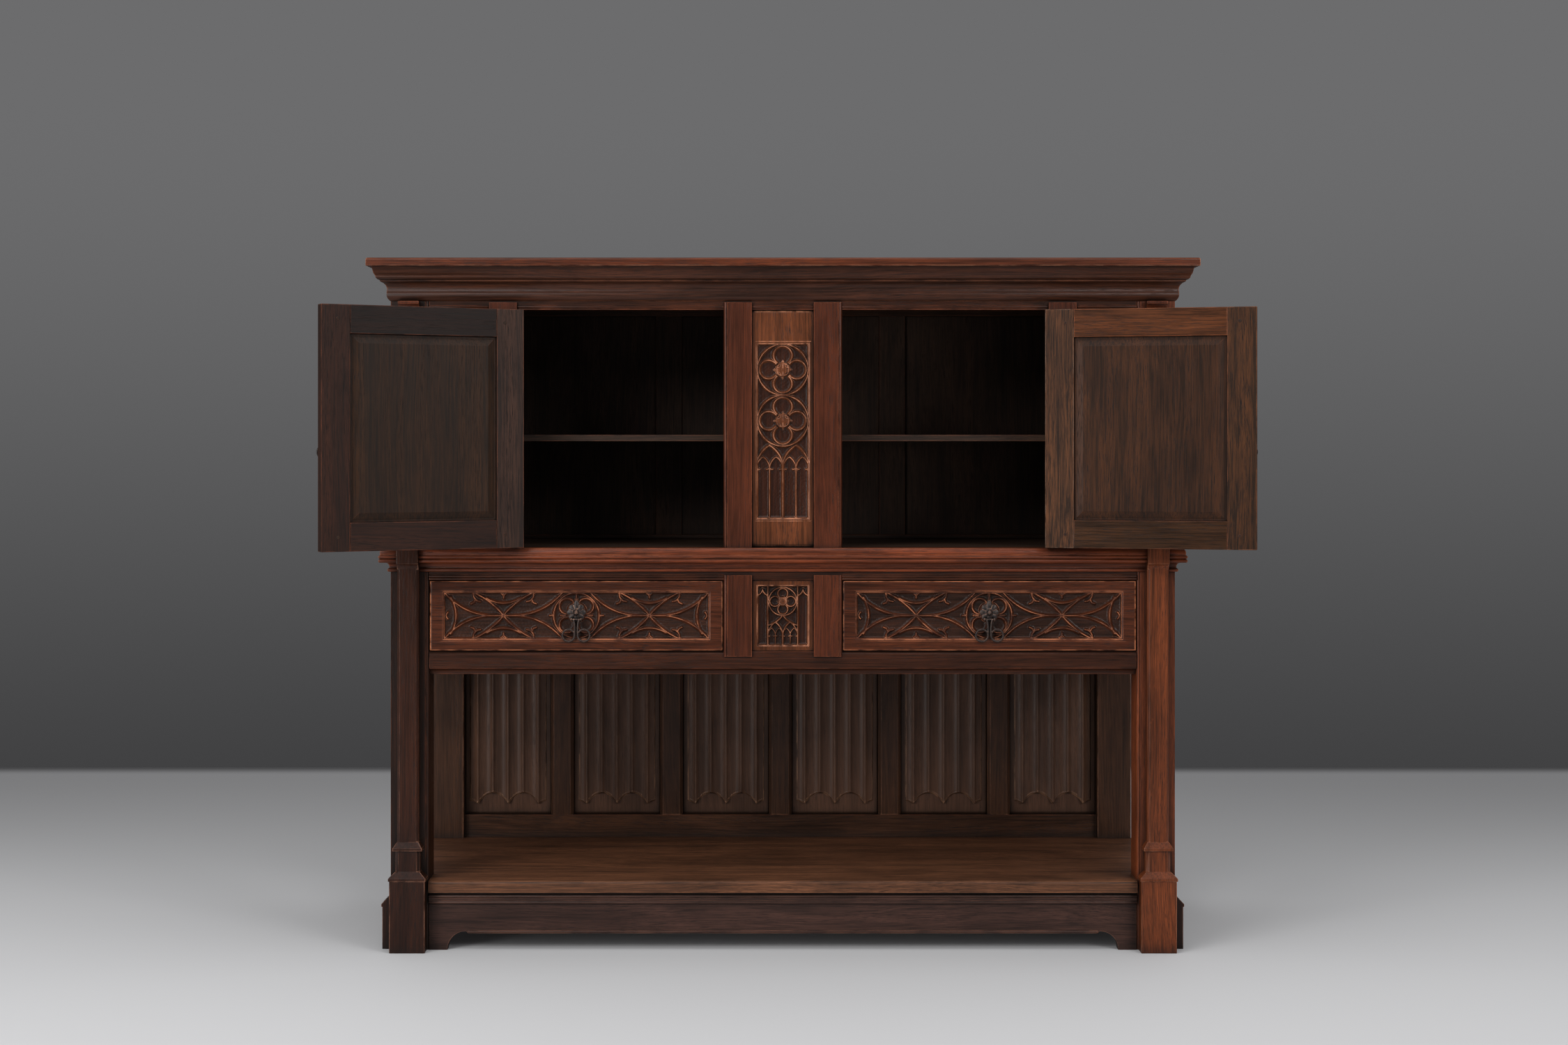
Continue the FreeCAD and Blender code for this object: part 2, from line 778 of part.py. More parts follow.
def lower_shelf():
    """One wide board with a rounded front edge, notched round the four posts."""
    outline = [
        (POST_INNER, FRONT - SIZE.shelf_nose),
        (POST_INNER, POST_BACK),
        (SIDE_OUTER, POST_BACK),
        (SIDE_OUTER, REAR_FRONT),
        (REAR_INNER, REAR_FRONT),
        (REAR_INNER, BACK_FRONT),
    ]
    left = [(-x, y) for x, y in reversed(outline)]
    board = pad("lower_shelf_board", "XY", [outline + left], SHELF_LOW, SIZE.shelf_thickness)
    nose = (FRONT - SIZE.shelf_nose / 2).number
    upper = (SHELF_LOW + SIZE.shelf_thickness * UPPER_EDGE_SHARE).number
    round_edges(board, SIZE.shelf_nose_round, lambda middle: middle.y < nose and middle.z > upper)
    node("lower_shelf", [board])


def plinth_moulding():
    """The strip under the shelf's edge: a groove, then two beads."""
    low = SHELF_LOW - SIZE.moulding_height
    high = SHELF_LOW - SIZE.moulding_groove
    face = FRONT - SIZE.moulding_reach / 2
    bead = (SIZE.moulding_height - SIZE.moulding_groove) / 3
    outline = [
        (FRONT, high),
        (FRONT, low),
        (face, low, ROUND_BEAD_SHARE),
        (face, low + bead),
        (face, high - bead, ROUND_BEAD_SHARE),
        (face, high),
    ]
    strip = pad("plinth_moulding_strip", "YZ", [outline], -POST_INNER, POST_INNER * 2)
    node("plinth_moulding", [strip])


# Framed back

PANEL_PITCH = (REAR_INNER * 2 + SIZE.muntin_width) / 6
PANEL_WIDTH = PANEL_PITCH - SIZE.muntin_width
PANEL_LOW = SHELF_TOP + SIZE.bottom_rail_rise
PANEL_HIGH = DRAWER_RAIL_LOW + SIZE.middle_rail_lift
MIDDLE_RAIL_HIGH = PANEL_HIGH + SIZE.middle_rail_height
UPPER_RAIL_LOW = DRAWER_HEAD + SIZE.upper_rail_lift
UPPER_RAIL_HIGH = UPPER_RAIL_LOW + SIZE.upper_rail_height
TOP_RAIL_LOW = CARCASS_TOP - SIZE.top_rail_height


def back_rails():
    y_span = (BACK_FRONT, BACK)
    x_span = (-REAR_INNER, REAR_INNER)
    heights = {
        "back_bottom_rail": (SHELF_LOW, PANEL_LOW),
        "back_middle_rail": (PANEL_HIGH, MIDDLE_RAIL_HIGH),
        "back_upper_rail": (UPPER_RAIL_LOW, UPPER_RAIL_HIGH),
        "back_top_rail": (TOP_RAIL_LOW, CARCASS_TOP),
    }
    node("back_rails", [box(name, x_span, y_span, z_span) for name, z_span in heights.items()])


def lower_muntins():
    """Upright bars between the linenfold panels, with chamfered front edges."""
    chamfer = SIZE.muntin_chamfer
    bars = []
    for index in range(1, 6):
        low = -REAR_INNER + PANEL_PITCH * index - SIZE.muntin_width
        high = low + SIZE.muntin_width
        outline = [
            (low, BACK),
            (low, BACK_FRONT + chamfer),
            (low + chamfer, BACK_FRONT),
            (high - chamfer, BACK_FRONT),
            (high, BACK_FRONT + chamfer),
            (high, BACK),
        ]
        bars.append(pad(f"lower_muntin_{index}", "XY", [outline], PANEL_LOW, PANEL_HIGH - PANEL_LOW))
    node("lower_muntins", bars)


LINEN_PITCH = PANEL_WIDTH * LINEN_PITCH_SHARE
LINEN_REACH = LINEN_PITCH * 2 + LINEN_PITCH / 2


def linen_section(middle, ground):
    """The cut through the folded linen: five crests with hollows between them."""
    crest = ground - SIZE.linen_relief
    tail = ground - SIZE.linen_relief / 3
    half_crest = SIZE.linen_crest / 2
    hollow_share = 2 * SIZE.linen_hollow.number / (LINEN_PITCH - SIZE.linen_crest).number
    section = [(middle - LINEN_REACH, ground), (middle - LINEN_REACH, tail, COVE_SHARE)]
    for index in range(-2, 3):
        place = middle + LINEN_PITCH * index
        section.append((place - half_crest, crest))
        if index < 2:
            section.append((place + half_crest, crest, hollow_share))
    section.append((middle + LINEN_PITCH * 2 + half_crest, crest, COVE_SHARE))
    section.append((middle + LINEN_REACH, tail))
    section.append((middle + LINEN_REACH, ground))
    return section


def linen_front(middle):
    """The linen seen from the front: its lower hem makes two pointed arches."""
    hem = PANEL_LOW + SIZE.linen_ground_margin
    arch = hem + SIZE.linen_arch_rise
    tail = hem + SIZE.linen_arch_rise / 4
    return [
        (middle - LINEN_REACH, PANEL_HIGH),
        (middle - LINEN_REACH, tail),
        (middle - LINEN_PITCH * 2, hem, HEM_ARCH_SHARE),
        (middle - LINEN_PITCH, arch, HEM_ARCH_SHARE),
        (middle, hem, HEM_ARCH_SHARE),
        (middle + LINEN_PITCH, arch, HEM_ARCH_SHARE),
        (middle + LINEN_PITCH * 2, hem),
        (middle + LINEN_REACH, tail),
        (middle + LINEN_REACH, PANEL_HIGH),
    ]


def linenfold_panel(index):
    """A flat ground with carved linen on it, the hem standing clear of the bottom rail."""
    label = f"linenfold_panel_{index}"
    low = -REAR_INNER + PANEL_PITCH * (index - 1)
    middle = low + PANEL_WIDTH / 2
    ground = BACK_FRONT + SIZE.linen_relief + SIZE.muntin_chamfer
    height = PANEL_HIGH - PANEL_LOW
    folds = pad(f"{label}_folds", "XY", [linen_section(middle, ground)], PANEL_LOW, height)
    depth = SIZE.linen_relief * 2
    hem = pad(f"{label}_hem", "XZ", [linen_front(middle)], ground - depth, depth)
    linen = common(f"{label}_linen", [folds, hem])
    y_span = (ground, ground + SIZE.linen_ground)
    plate = box(f"{label}_ground", (low, low + PANEL_WIDTH), y_span, (PANEL_LOW, PANEL_HIGH))
    node(label, [fuse(f"{label}_solid", [plate, linen])])


def upper_back():
    """Panels and muntins behind the drawers and the cabinet."""
    panel_face = BACK_FRONT + SIZE.back_panel / 2
    y_panel = (panel_face, panel_face + SIZE.back_panel)
    muntin = REAR_INNER * BACK_MUNTIN_SHARE - SIZE.back_muntin_width / 2
    muntin_end = muntin + SIZE.back_muntin_width
    z_cabinet = (UPPER_RAIL_HIGH, TOP_RAIL_LOW)
    z_drawers = (MIDDLE_RAIL_HIGH, UPPER_RAIL_LOW)
    pieces = [
        box("drawer_stage_back", (-REAR_INNER, REAR_INNER), y_panel, z_drawers),
        box("cabinet_back_middle", (-muntin, muntin), y_panel, z_cabinet),
    ]
    for side in (LEFT, RIGHT):
        name = side_name(side)
        bar = mirrored_span(side, muntin, muntin_end)
        outer = mirrored_span(side, muntin_end, REAR_INNER)
        pieces.append(box(f"{name}_cabinet_back_muntin", bar, (BACK_FRONT, BACK), z_cabinet))
        pieces.append(box(f"{name}_cabinet_back", outer, y_panel, z_cabinet))
    node("upper_back", pieces)


# Drawer stage

def drawer_rail():
    """The rail under the drawers: a rounded lower edge, and a chamfer before each drawer."""
    ovolo = SIZE.drawer_rail_ovolo
    chamfer = SIZE.rail_chamfer
    outline = [
        (FRONT, DRAWER_RAIL_HIGH),
        (FRONT, DRAWER_RAIL_LOW + ovolo, QUARTER_ARC_SHARE),
        (FRONT + ovolo, DRAWER_RAIL_LOW),
        (RAIL_BACK, DRAWER_RAIL_LOW),
        (RAIL_BACK, DRAWER_RAIL_HIGH),
    ]
    rail = pad("drawer_rail_bar", "YZ", [outline], -POST_INNER, POST_INNER * 2)
    corner = [
        (FRONT, DRAWER_RAIL_HIGH - chamfer),
        (FRONT + chamfer, DRAWER_RAIL_HIGH),
        (FRONT, DRAWER_RAIL_HIGH),
    ]
    chips = []
    for side in (LEFT, RIGHT):
        start, end = mirrored_span(side, STILE_OUTER, POST_INNER)
        chips.append(pad(f"{side_name(side)}_rail_chamfer", "YZ", [corner], start, end - start))
    node("drawer_rail", [cut("drawer_rail_solid", rail, fuse("rail_chamfers", chips))])


def waist_rail():
    """The rail over the drawers, with two beads along its lower edge before each drawer."""
    bead = SIZE.head_bead
    outline = [
        (FRONT, WAIST_TOP),
        (FRONT, DRAWER_HEAD + bead * 2, -ROUND_BEAD_SHARE),
        (FRONT, DRAWER_HEAD + bead, -ROUND_BEAD_SHARE),
        (FRONT, DRAWER_HEAD),
        (RAIL_BACK, DRAWER_HEAD),
        (RAIL_BACK, WAIST_TOP),
    ]
    rail = pad("waist_rail_bar", "YZ", [outline], -POST_INNER, POST_INNER * 2)
    x_span = (-STILE_OUTER, STILE_OUTER)
    y_span = (FRONT - bead, FRONT)
    bare = box("waist_rail_middle", x_span, y_span, (DRAWER_HEAD, WAIST_TOP))
    node("waist_rail", [cut("waist_rail_solid", rail, bare)])


def waist_section(face):
    """The cut through the waist moulding: nose, two reeds, cove and bead, standing on a face."""
    nose_low = WAIST_TOP - SIZE.waist_nose_height
    reed = SIZE.waist_reed_height / 2
    cove_high = nose_low - SIZE.waist_reed_height
    bead_high = cove_high - SIZE.waist_cove_height
    reed_face = face - SIZE.waist_reed_reach
    bead_face = face - SIZE.waist_bead_reach
    return [
        (face, WAIST_TOP),
        (face - SIZE.waist_nose_reach, WAIST_TOP, -CYMA_SHARE),
        (reed_face, nose_low, -ROUND_BEAD_SHARE),
        (reed_face, nose_low - reed, -ROUND_BEAD_SHARE),
        (reed_face, cove_high),
        (face - SIZE.waist_cove_reach, cove_high, COVE_SHARE),
        (bead_face, bead_high, -ROUND_BEAD_SHARE),
        (bead_face, WAIST_LOW),
        (face, WAIST_LOW),
    ]


def waist_moulding():
    """A mitred moulding round the front and both sides, stopped against the buttresses."""
    corners = [(-HALF_WIDTH, BACK), (-HALF_WIDTH, FRONT), (HALF_WIDTH, FRONT), (HALF_WIDTH, BACK)]
    sweep = mitred("waist_moulding", waist_section(-HALF_WIDTH), corners, BACK)
    housings = []
    for side in (LEFT, RIGHT):
        middle = buttress_middle(side)
        x_span = (middle - SIZE.shaft_width / 2, middle + SIZE.shaft_width / 2)
        y_span = (FRONT - SIZE.waist_reed_reach * 2, FRONT)
        housings.append(box(f"{side_name(side)}_housing", x_span, y_span, (WAIST_LOW, WAIST_TOP)))
    runs = cut("waist_moulding_runs", sweep, fuse("waist_housings", housings))
    node("waist_moulding", [runs])


def lapped_stile(name, side, low, high, lap_low, lap_high):
    """An upright by the middle, beaded beside its opening, whose face laps over the rails."""
    section = beaded_section(STILE_OUTER, STILE_INNER, STILE_FRONT, STILE_BACK, SIZE.stile_bead)
    length = high - low + lap_low + lap_high
    bar = pad(f"{name}_bar", "XY", [mirrored(side, section)], low - lap_low, length)
    x_span = mirrored_span(side, STILE_INNER, STILE_OUTER)
    y_span = (FRONT, STILE_BACK)
    notches = [box(f"{name}_high_notch", x_span, y_span, (high, high + lap_high))]
    if lap_low.number:
        notches.append(box(f"{name}_low_notch", x_span, y_span, (low - lap_low, low)))
    notch = fuse(f"{name}_notches", notches) if len(notches) > 1 else notches[0]
    return cut(name, bar, notch)


def drawer_stiles():
    """The two short uprights between the drawers, a little proud of the rails."""
    bars = [
        lapped_stile(
            f"{side_name(side)}_drawer_stile", side, DRAWER_RAIL_HIGH, DRAWER_HEAD,
            SIZE.rail_chamfer * 2, SIZE.head_bead * 2,
        )
        for side in (LEFT, RIGHT)
    ]
    node("drawer_stiles", bars)


def stage_sides():
    """The boards that close the ends of the drawer stage."""
    boards = []
    for side in (LEFT, RIGHT):
        x_span = mirrored_span(side, SIDE_INNER, SIDE_OUTER)
        z_span = (DRAWER_RAIL_LOW, WAIST_TOP)
        boards.append(box(f"{side_name(side)}_stage_side", x_span, (POST_BACK, REAR_FRONT), z_span))
    node("stage_sides", boards)


DRAWER_INNER = STILE_OUTER + SIZE.drawer_clearance
DRAWER_OUTER = POST_INNER - SIZE.drawer_clearance
DRAWER_LOW = DRAWER_RAIL_HIGH + SIZE.drawer_clearance
DRAWER_HIGH = DRAWER_HEAD - SIZE.drawer_clearance
RUNNER_TOP = DRAWER_LOW - SIZE.runner_gap
BOX_INNER = DRAWER_INNER + SIZE.drawer_side_gap
BOX_OUTER = DRAWER_OUTER - SIZE.drawer_side_gap
BOX_HIGH = DRAWER_HIGH - SIZE.drawer_side_top_gap
BOX_BACK = BACK_FRONT - SIZE.drawer_rear_gap


def drawer_runners():
    """Ledges that carry the drawers' sides, with an upstand that guides them."""
    ledge = RUNNER_TOP - SIZE.runner_thickness
    guide_top = RUNNER_TOP + SIZE.guide_height
    guide_outer = BOX_OUTER + SIZE.drawer_side_gap
    guide_inner = BOX_INNER - SIZE.drawer_side_gap
    outer = [
        (BOX_OUTER - SIZE.runner_ledge, ledge),
        (SIDE_INNER, ledge),
        (SIDE_INNER, guide_top),
        (guide_outer, guide_top),
        (guide_outer, RUNNER_TOP),
        (BOX_OUTER - SIZE.runner_ledge, RUNNER_TOP),
    ]
    reach = BOX_INNER + SIZE.runner_ledge
    centre = [
        (-reach, ledge),
        (reach, ledge),
        (reach, RUNNER_TOP),
        (guide_inner, RUNNER_TOP),
        (guide_inner, guide_top),
        (-guide_inner, guide_top),
        (-guide_inner, RUNNER_TOP),
        (-reach, RUNNER_TOP),
    ]
    pieces = [
        pad(
            f"{side_name(side)}_runner", "XZ", [mirrored(side, outer)],
            POST_BACK, REAR_FRONT - POST_BACK,
        )
        for side in (LEFT, RIGHT)
    ]
    pieces.append(pad("centre_runner", "XZ", [centre], RAIL_BACK, BACK_FRONT - RAIL_BACK))
    node("drawer_runners", pieces)


def cabinet_floor():
    """The board between drawers and cabinet, notched round the posts."""
    outline = [
        (POST_INNER, RAIL_BACK),
        (POST_INNER, POST_BACK),
        (SIDE_INNER, POST_BACK),
        (SIDE_INNER, REAR_FRONT),
        (REAR_INNER, REAR_FRONT),
        (REAR_INNER, BACK_FRONT),
    ]
    left = [(-x, y) for x, y in reversed(outline)]
    low = WAIST_TOP - SIZE.floor_thickness
    node("cabinet_floor", [pad("cabinet_floor_board", "XY", [outline + left], low, SIZE.floor_thickness)])


# Cabinet

def cabinet_sides():
    """A framed panel on each side of the cabinet."""
    pieces = []
    y_span = (POST_BACK, REAR_FRONT)
    for side in (LEFT, RIGHT):
        name = side_name(side)
        x_rail = mirrored_span(side, SIDE_INNER, SIDE_OUTER)
        x_panel = mirrored_span(side, SIDE_PANEL_INNER, SIDE_PANEL_INNER + SIZE.back_panel)
        low = WAIST_TOP + SIZE.door_rail
        pieces.append(box(f"{name}_side_top_rail", x_rail, y_span, (TOP_RAIL_LOW, CARCASS_TOP)))
        pieces.append(box(f"{name}_side_low_rail", x_rail, y_span, (WAIST_TOP, low)))
        pieces.append(box(f"{name}_side_panel", x_panel, y_span, (low, TOP_RAIL_LOW)))
    node("cabinet_sides", pieces)


def head_rail():
    """The rail over the doors, with a bead along it that stops where the stiles lap over it."""
    bead = SIZE.head_bead
    bead_low = DOOR_HEAD + SIZE.rail_bead_lift
    outline = [
        (FRONT, CARCASS_TOP),
        (FRONT, bead_low + bead, -ROUND_BEAD_SHARE),
        (FRONT, bead_low),
        (FRONT, DOOR_HEAD),
        (RAIL_BACK, DOOR_HEAD),
        (RAIL_BACK, CARCASS_TOP),
    ]
    rail = pad("head_rail_bar", "YZ", [outline], -POST_INNER, POST_INNER * 2)
    laps = []
    for side in (LEFT, RIGHT):
        for kind, inner, outer in (
            ("centre", STILE_INNER, STILE_OUTER), ("hinge", HINGE_STILE_INNER, HINGE_STILE_OUTER),
        ):
            x_span = mirrored_span(side, inner, outer)
            y_span = (FRONT - bead, FRONT)
            z_span = (DOOR_HEAD, CARCASS_TOP)
            laps.append(box(f"{side_name(side)}_{kind}_lap", x_span, y_span, z_span))
    node("head_rail", [cut("head_rail_solid", rail, fuse("head_rail_laps", laps))])


def centre_stiles():
    bars = [
        lapped_stile(f"{side_name(side)}_centre_stile", side, WAIST_TOP, DOOR_HEAD, NONE, SIZE.stile_lap)
        for side in (LEFT, RIGHT)
    ]
    node("centre_stiles", bars)


def hinge_stiles():
    """The uprights that the doors hang on, whose faces lap over the head rail."""
    lap = DOOR_HEAD + SIZE.stile_lap
    outline = [
        (STILE_BACK, WAIST_TOP),
        (STILE_FRONT, WAIST_TOP),
        (STILE_FRONT, lap),
        (FRONT, lap),
        (FRONT, DOOR_HEAD),
        (STILE_BACK, DOOR_HEAD),
    ]
    bars = []
    for side in (LEFT, RIGHT):
        start, end = mirrored_span(side, HINGE_STILE_INNER, HINGE_STILE_OUTER)
        bars.append(pad(f"{side_name(side)}_hinge_stile", "YZ", [outline], start, end - start))
    node("hinge_stiles", bars)


PANEL_FACE = STILE_FRONT + SIZE.panel_recess
PANEL_BACK = PANEL_FACE + SIZE.panel_thickness


def narrow_panels():
    """Plain fixed panels between the hinge stiles and the posts."""
    panels = []
    for side in (LEFT, RIGHT):
        x_span = mirrored_span(side, HINGE_STILE_OUTER, POST_INNER)
        z_span = (WAIST_TOP, DOOR_HEAD)
        panels.append(box(f"{side_name(side)}_narrow_panel", x_span, (PANEL_FACE, PANEL_BACK), z_span))
    node("narrow_panels", panels)


def cabinet_shelf():
    low = WAIST_TOP + SIZE.cabinet_shelf_rise
    y_span = (FRONT + SIZE.cabinet_shelf_front, REAR_FRONT)
    z_span = (low, low + SIZE.cabinet_shelf_thickness)
    node("cabinet_shelf", [box("cabinet_shelf_board", (-SIDE_INNER, SIDE_INNER), y_span, z_span)])
    strips = []
    for side in (LEFT, RIGHT):
        x_span = mirrored_span(side, SIDE_PANEL_INNER - SIZE.batten_size, SIDE_PANEL_INNER)
        z_batten = (low - SIZE.batten_size, low)
        strips.append(box(f"{side_name(side)}_shelf_batten", x_span, (POST_BACK, REAR_FRONT), z_batten))
    node("shelf_battens", strips)


# Cornice and top

def cornice():
    """A mitred moulding under the top on the front and both sides: cyma, cove and ovolo."""
    face = -HALF_WIDTH
    reaches = [face - SIZE.cornice_reach * share for share in CORNICE_REACH_SHARES]
    rises = [CORNICE_LOW + SIZE.cornice_height * share for share in CORNICE_RISE_SHARES]
    section = [
        (face, CORNICE_LOW, CYMA_SHARE),
        (reaches[0], rises[0]),
        (reaches[0], rises[1], -COVE_SHARE),
        (reaches[1], rises[2]),
        (reaches[2], rises[3]),
        (reaches[2], rises[4], COVE_SHARE),
        (reaches[3], rises[5]),
        (reaches[4], rises[6]),
        (face - SIZE.cornice_reach, CARCASS_TOP),
        (face, CARCASS_TOP),
    ]
    corners = [(-HALF_WIDTH, BACK), (-HALF_WIDTH, FRONT), (HALF_WIDTH, FRONT), (HALF_WIDTH, BACK)]
    node("cornice", [mitred("cornice", section, corners, BACK)])


def top_board():
    """The top slab, its upper front and side edges rounded."""
    edge = HALF_WIDTH + SIZE.top_overhang
    front = FRONT - SIZE.top_overhang
    back = BACK + SIZE.top_back_overhang
    outline = [(-edge, front), (edge, front), (edge, back), (-edge, back)]
    board = pad("top_slab", "XY", [outline], CARCASS_TOP, SIZE.top_thickness)
    upper = (CARCASS_TOP + SIZE.top_thickness * UPPER_EDGE_SHARE).number
    back_line = BACK.number
    round_edges(board, SIZE.top_round, lambda middle: middle.z > upper and middle.y < back_line)
    node("top_board", [board])


# Carved panels

def disc(name, x, z, radius, face, depth):
    return rod(name, "Y", (x, face, z), radius, depth)


def ring(name, x, z, outer, inner, face, depth):
    outside = disc(f"{name}_outer", x, z, outer, face, depth)
    return cut(name, outside, disc(f"{name}_inner", x, z, inner, face, depth))


def quatrefoil(name, x, z, radius, width, face, depth, places, foil_radius, eye_radius):
    """A ring that holds four round foils, open at the heart."""
    rim = ring(f"{name}_rim", x, z, radius, radius - width, face, depth)
    outer = foil_radius + width / 2
    inner = foil_radius - width / 3
    foils = []
    eyes = [disc(f"{name}_heart", x, z, eye_radius, face, depth)]
    for index, (across, up) in enumerate(places):
        foils.append(disc(f"{name}_foil_{index}", x + across, z + up, outer, face, depth))
        eyes.append(disc(f"{name}_eye_{index}", x + across, z + up, inner, face, depth))
    bound = disc(f"{name}_bound", x, z, radius, face, depth)
    held = common(f"{name}_held", [fuse(f"{name}_foils", foils), bound])
    return cut(f"{name}_ribs", fuse(f"{name}_blank", [rim, held]), fuse(f"{name}_eyes", eyes))


def rose_roundel(name, z, radius, width, face, depth):
    """An upright quatrefoil in a ring, with a four-petalled rose at its heart."""
    place = radius * FOIL_PLACE_SHARE
    rose = radius * ROSE_SHARE
    petals = star(NONE, z, rose + width * MULLION_SHARE, rose / 2, FOIL_COUNT)
    boss = ring_of_points(NONE, z, rose / 2, LEAF_COUNT, 0)
    places = [(place, NONE), (-place, NONE), (NONE, place), (NONE, -place)]
    return [
        quatrefoil(name, NONE, z, radius, width, face, depth, places, radius * FOIL_SHARE, rose + width),
        pad(f"{name}_rose", "XZ", [petals], face + depth / 3, depth - depth / 3),
        pad(f"{name}_boss", "XZ", [boss], face, depth),
    ]


def rib(name, start, end, bulge, width, face, depth):
    return pad(name, "XZ", [rib_outline(start, end, bulge, width)], face, depth)


def arch_outline(low_x, high_x, low, spring, apex):
    middle = (low_x + high_x) / 2
    return [
        (low_x, low),
        (low_x, spring, POINTED_ARCH_SHARE),
        (middle, apex, POINTED_ARCH_SHARE),
        (high_x, spring),
        (high_x, low),
    ]


def lancet(name, low_x, high_x, low, spring, apex, width, face, depth):
    """A pointed light in a frame of ribs, with a thin mullion."""
    outer = arch_outline(low_x, high_x, low, spring, apex)
    inner = arch_outline(
        low_x + width, high_x - width, low + width, spring, apex - width * LANCET_INSET_SHARE
    )
    middle = (low_x + high_x) / 2
    half_mullion = width * MULLION_SHARE / 2
    x_span = (middle - half_mullion, middle + half_mullion)
    z_span = (low, spring - (apex - spring) * FORK_SHARE)
    return [
        pad(f"{name}_frame", "XZ", [outer, inner], face, depth),
        box(f"{name}_mullion", x_span, (face, face + depth), z_span),
    ]


def branches(name, low_x, high_x, spring, apex, width, face, depth):
    """The two curved arms in which a mullion ends under the point of its light."""
    middle = (low_x + high_x) / 2
    fork = (middle, spring - (apex - spring) * FORK_SHARE)
    spread = (high_x - low_x) * BRANCH_SHARE
    thin = width * MULLION_SHARE
    arms = []
    for side in (LEFT, RIGHT):
        end = (middle + spread * side, spring + (apex - spring) * SUB_ARCH_RISE_SHARE)
        bulge = BRANCH_ARC_SHARE * side
        arms.append(rib(f"{name}_{side_name(side)}_branch", fork, end, bulge, thin, face, depth))
    return arms


def carved_plate(name, half, low, high, z_span):
    """A fixed panel between the stiles with a sunk field."""
    plate = box(f"{name}_plate", (-STILE_INNER, STILE_INNER), (PANEL_FACE, PANEL_BACK), z_span)
    sunk = (PANEL_FACE, PANEL_FACE + SIZE.tracery_depth)
    return cut(f"{name}_ground", plate, box(f"{name}_hollow", (-half, half), sunk, (low, high)))


RIB_FACE = PANEL_FACE + SIZE.tracery_depth - SIZE.tracery_rib_depth


def tracery_panel():
    """The centre panel: two quatrefoil roundels over a pair of lancets."""
    width = SIZE.tracery_rib
    depth = SIZE.tracery_rib_depth
    half = STILE_INNER - SIZE.tracery_margin
    low = WAIST_TOP + SIZE.tracery_foot
    high = DOOR_HEAD - SIZE.tracery_head
    radius = half * ROUNDEL_SHARE
    upper = high - radius - SIZE.roundel_gap
    lower = upper - radius * ROUNDEL_PITCH_SHARE
    apex = lower - radius + width / 2
    spring = apex - SIZE.lancet_rise
    pieces = [carved_plate("tracery", half, low, high, (WAIST_TOP, DOOR_HEAD))]
    for index, height in enumerate((upper, lower)):
        pieces += rose_roundel(f"tracery_roundel_{index}", height, radius, width, RIB_FACE, depth)
    for name, low_x, high_x in (("left", -half, width / 2), ("right", -width / 2, half)):
        pieces += lancet(f"{name}_lancet", low_x, high_x, low, spring, apex, width, RIB_FACE, depth)
        pieces += branches(name, low_x, high_x, spring, apex, width, RIB_FACE, depth)
    node("tracery_panel", [fuse("tracery_panel_solid", pieces)])


def small_panel():
    """The little panel between the drawers: a roundel and a hood over two lancets."""
    width = SIZE.small_rib
    depth = SIZE.tracery_rib_depth
    half = STILE_INNER - SIZE.small_margin
    low = DRAWER_RAIL_HIGH + SIZE.small_margin
    high = DRAWER_HEAD - SIZE.small_margin
    radius = SIZE.small_roundel_radius
    edge = radius + width / 2
    spring = low + SIZE.small_spring_rise
    apex = spring + SIZE.small_lancet_rise
    hood_foot = apex - width * 2
    hood_top = high - SIZE.small_roundel_drop - radius + width / 2
    pieces = [carved_plate("small", half, low, high, (DRAWER_RAIL_HIGH, DRAWER_HEAD))]
    pieces += rose_roundel("small_roundel", high - SIZE.small_roundel_drop, radius, width, RIB_FACE, depth)
    pieces += lancet("left_small_lancet", -edge, width / 2, low, spring, apex, width, RIB_FACE, depth)
    pieces += lancet("right_small_lancet", -width / 2, edge, low, spring, apex, width, RIB_FACE, depth)
    for side in (LEFT, RIGHT):
        name = side_name(side)
        x_span = mirrored_span(side, edge - width, edge)
        foot = (edge if side == RIGHT else -edge, hood_foot)
        pieces.append(box(f"{name}_side_rib", x_span, (RIB_FACE, RIB_FACE + depth), (spring, high)))
        bulge = -POINTED_ARCH_SHARE * side
        pieces.append(rib(f"{name}_hood", foot, (NONE, hood_top), bulge, width, RIB_FACE, depth))
    node("small_tracery_panel", [fuse("small_panel_solid", pieces)])


# Drawers

HANDLE_X = (DRAWER_INNER + DRAWER_OUTER) / 2
DRAWER_MIDDLE = (DRAWER_LOW + DRAWER_HIGH) / 2
HANDLE_Z = DRAWER_MIDDLE + SIZE.bail_pin_drop / 2
HANDLE_FACE = FRONT + SIZE.carving_depth - SIZE.carving_relief
FIELD_HALF_LENGTH = (DRAWER_OUTER - DRAWER_INNER) / 2 - SIZE.drawer_end_border
FIELD_HALF_HEIGHT = (DRAWER_HIGH - DRAWER_LOW) / 2 - SIZE.drawer_edge_border


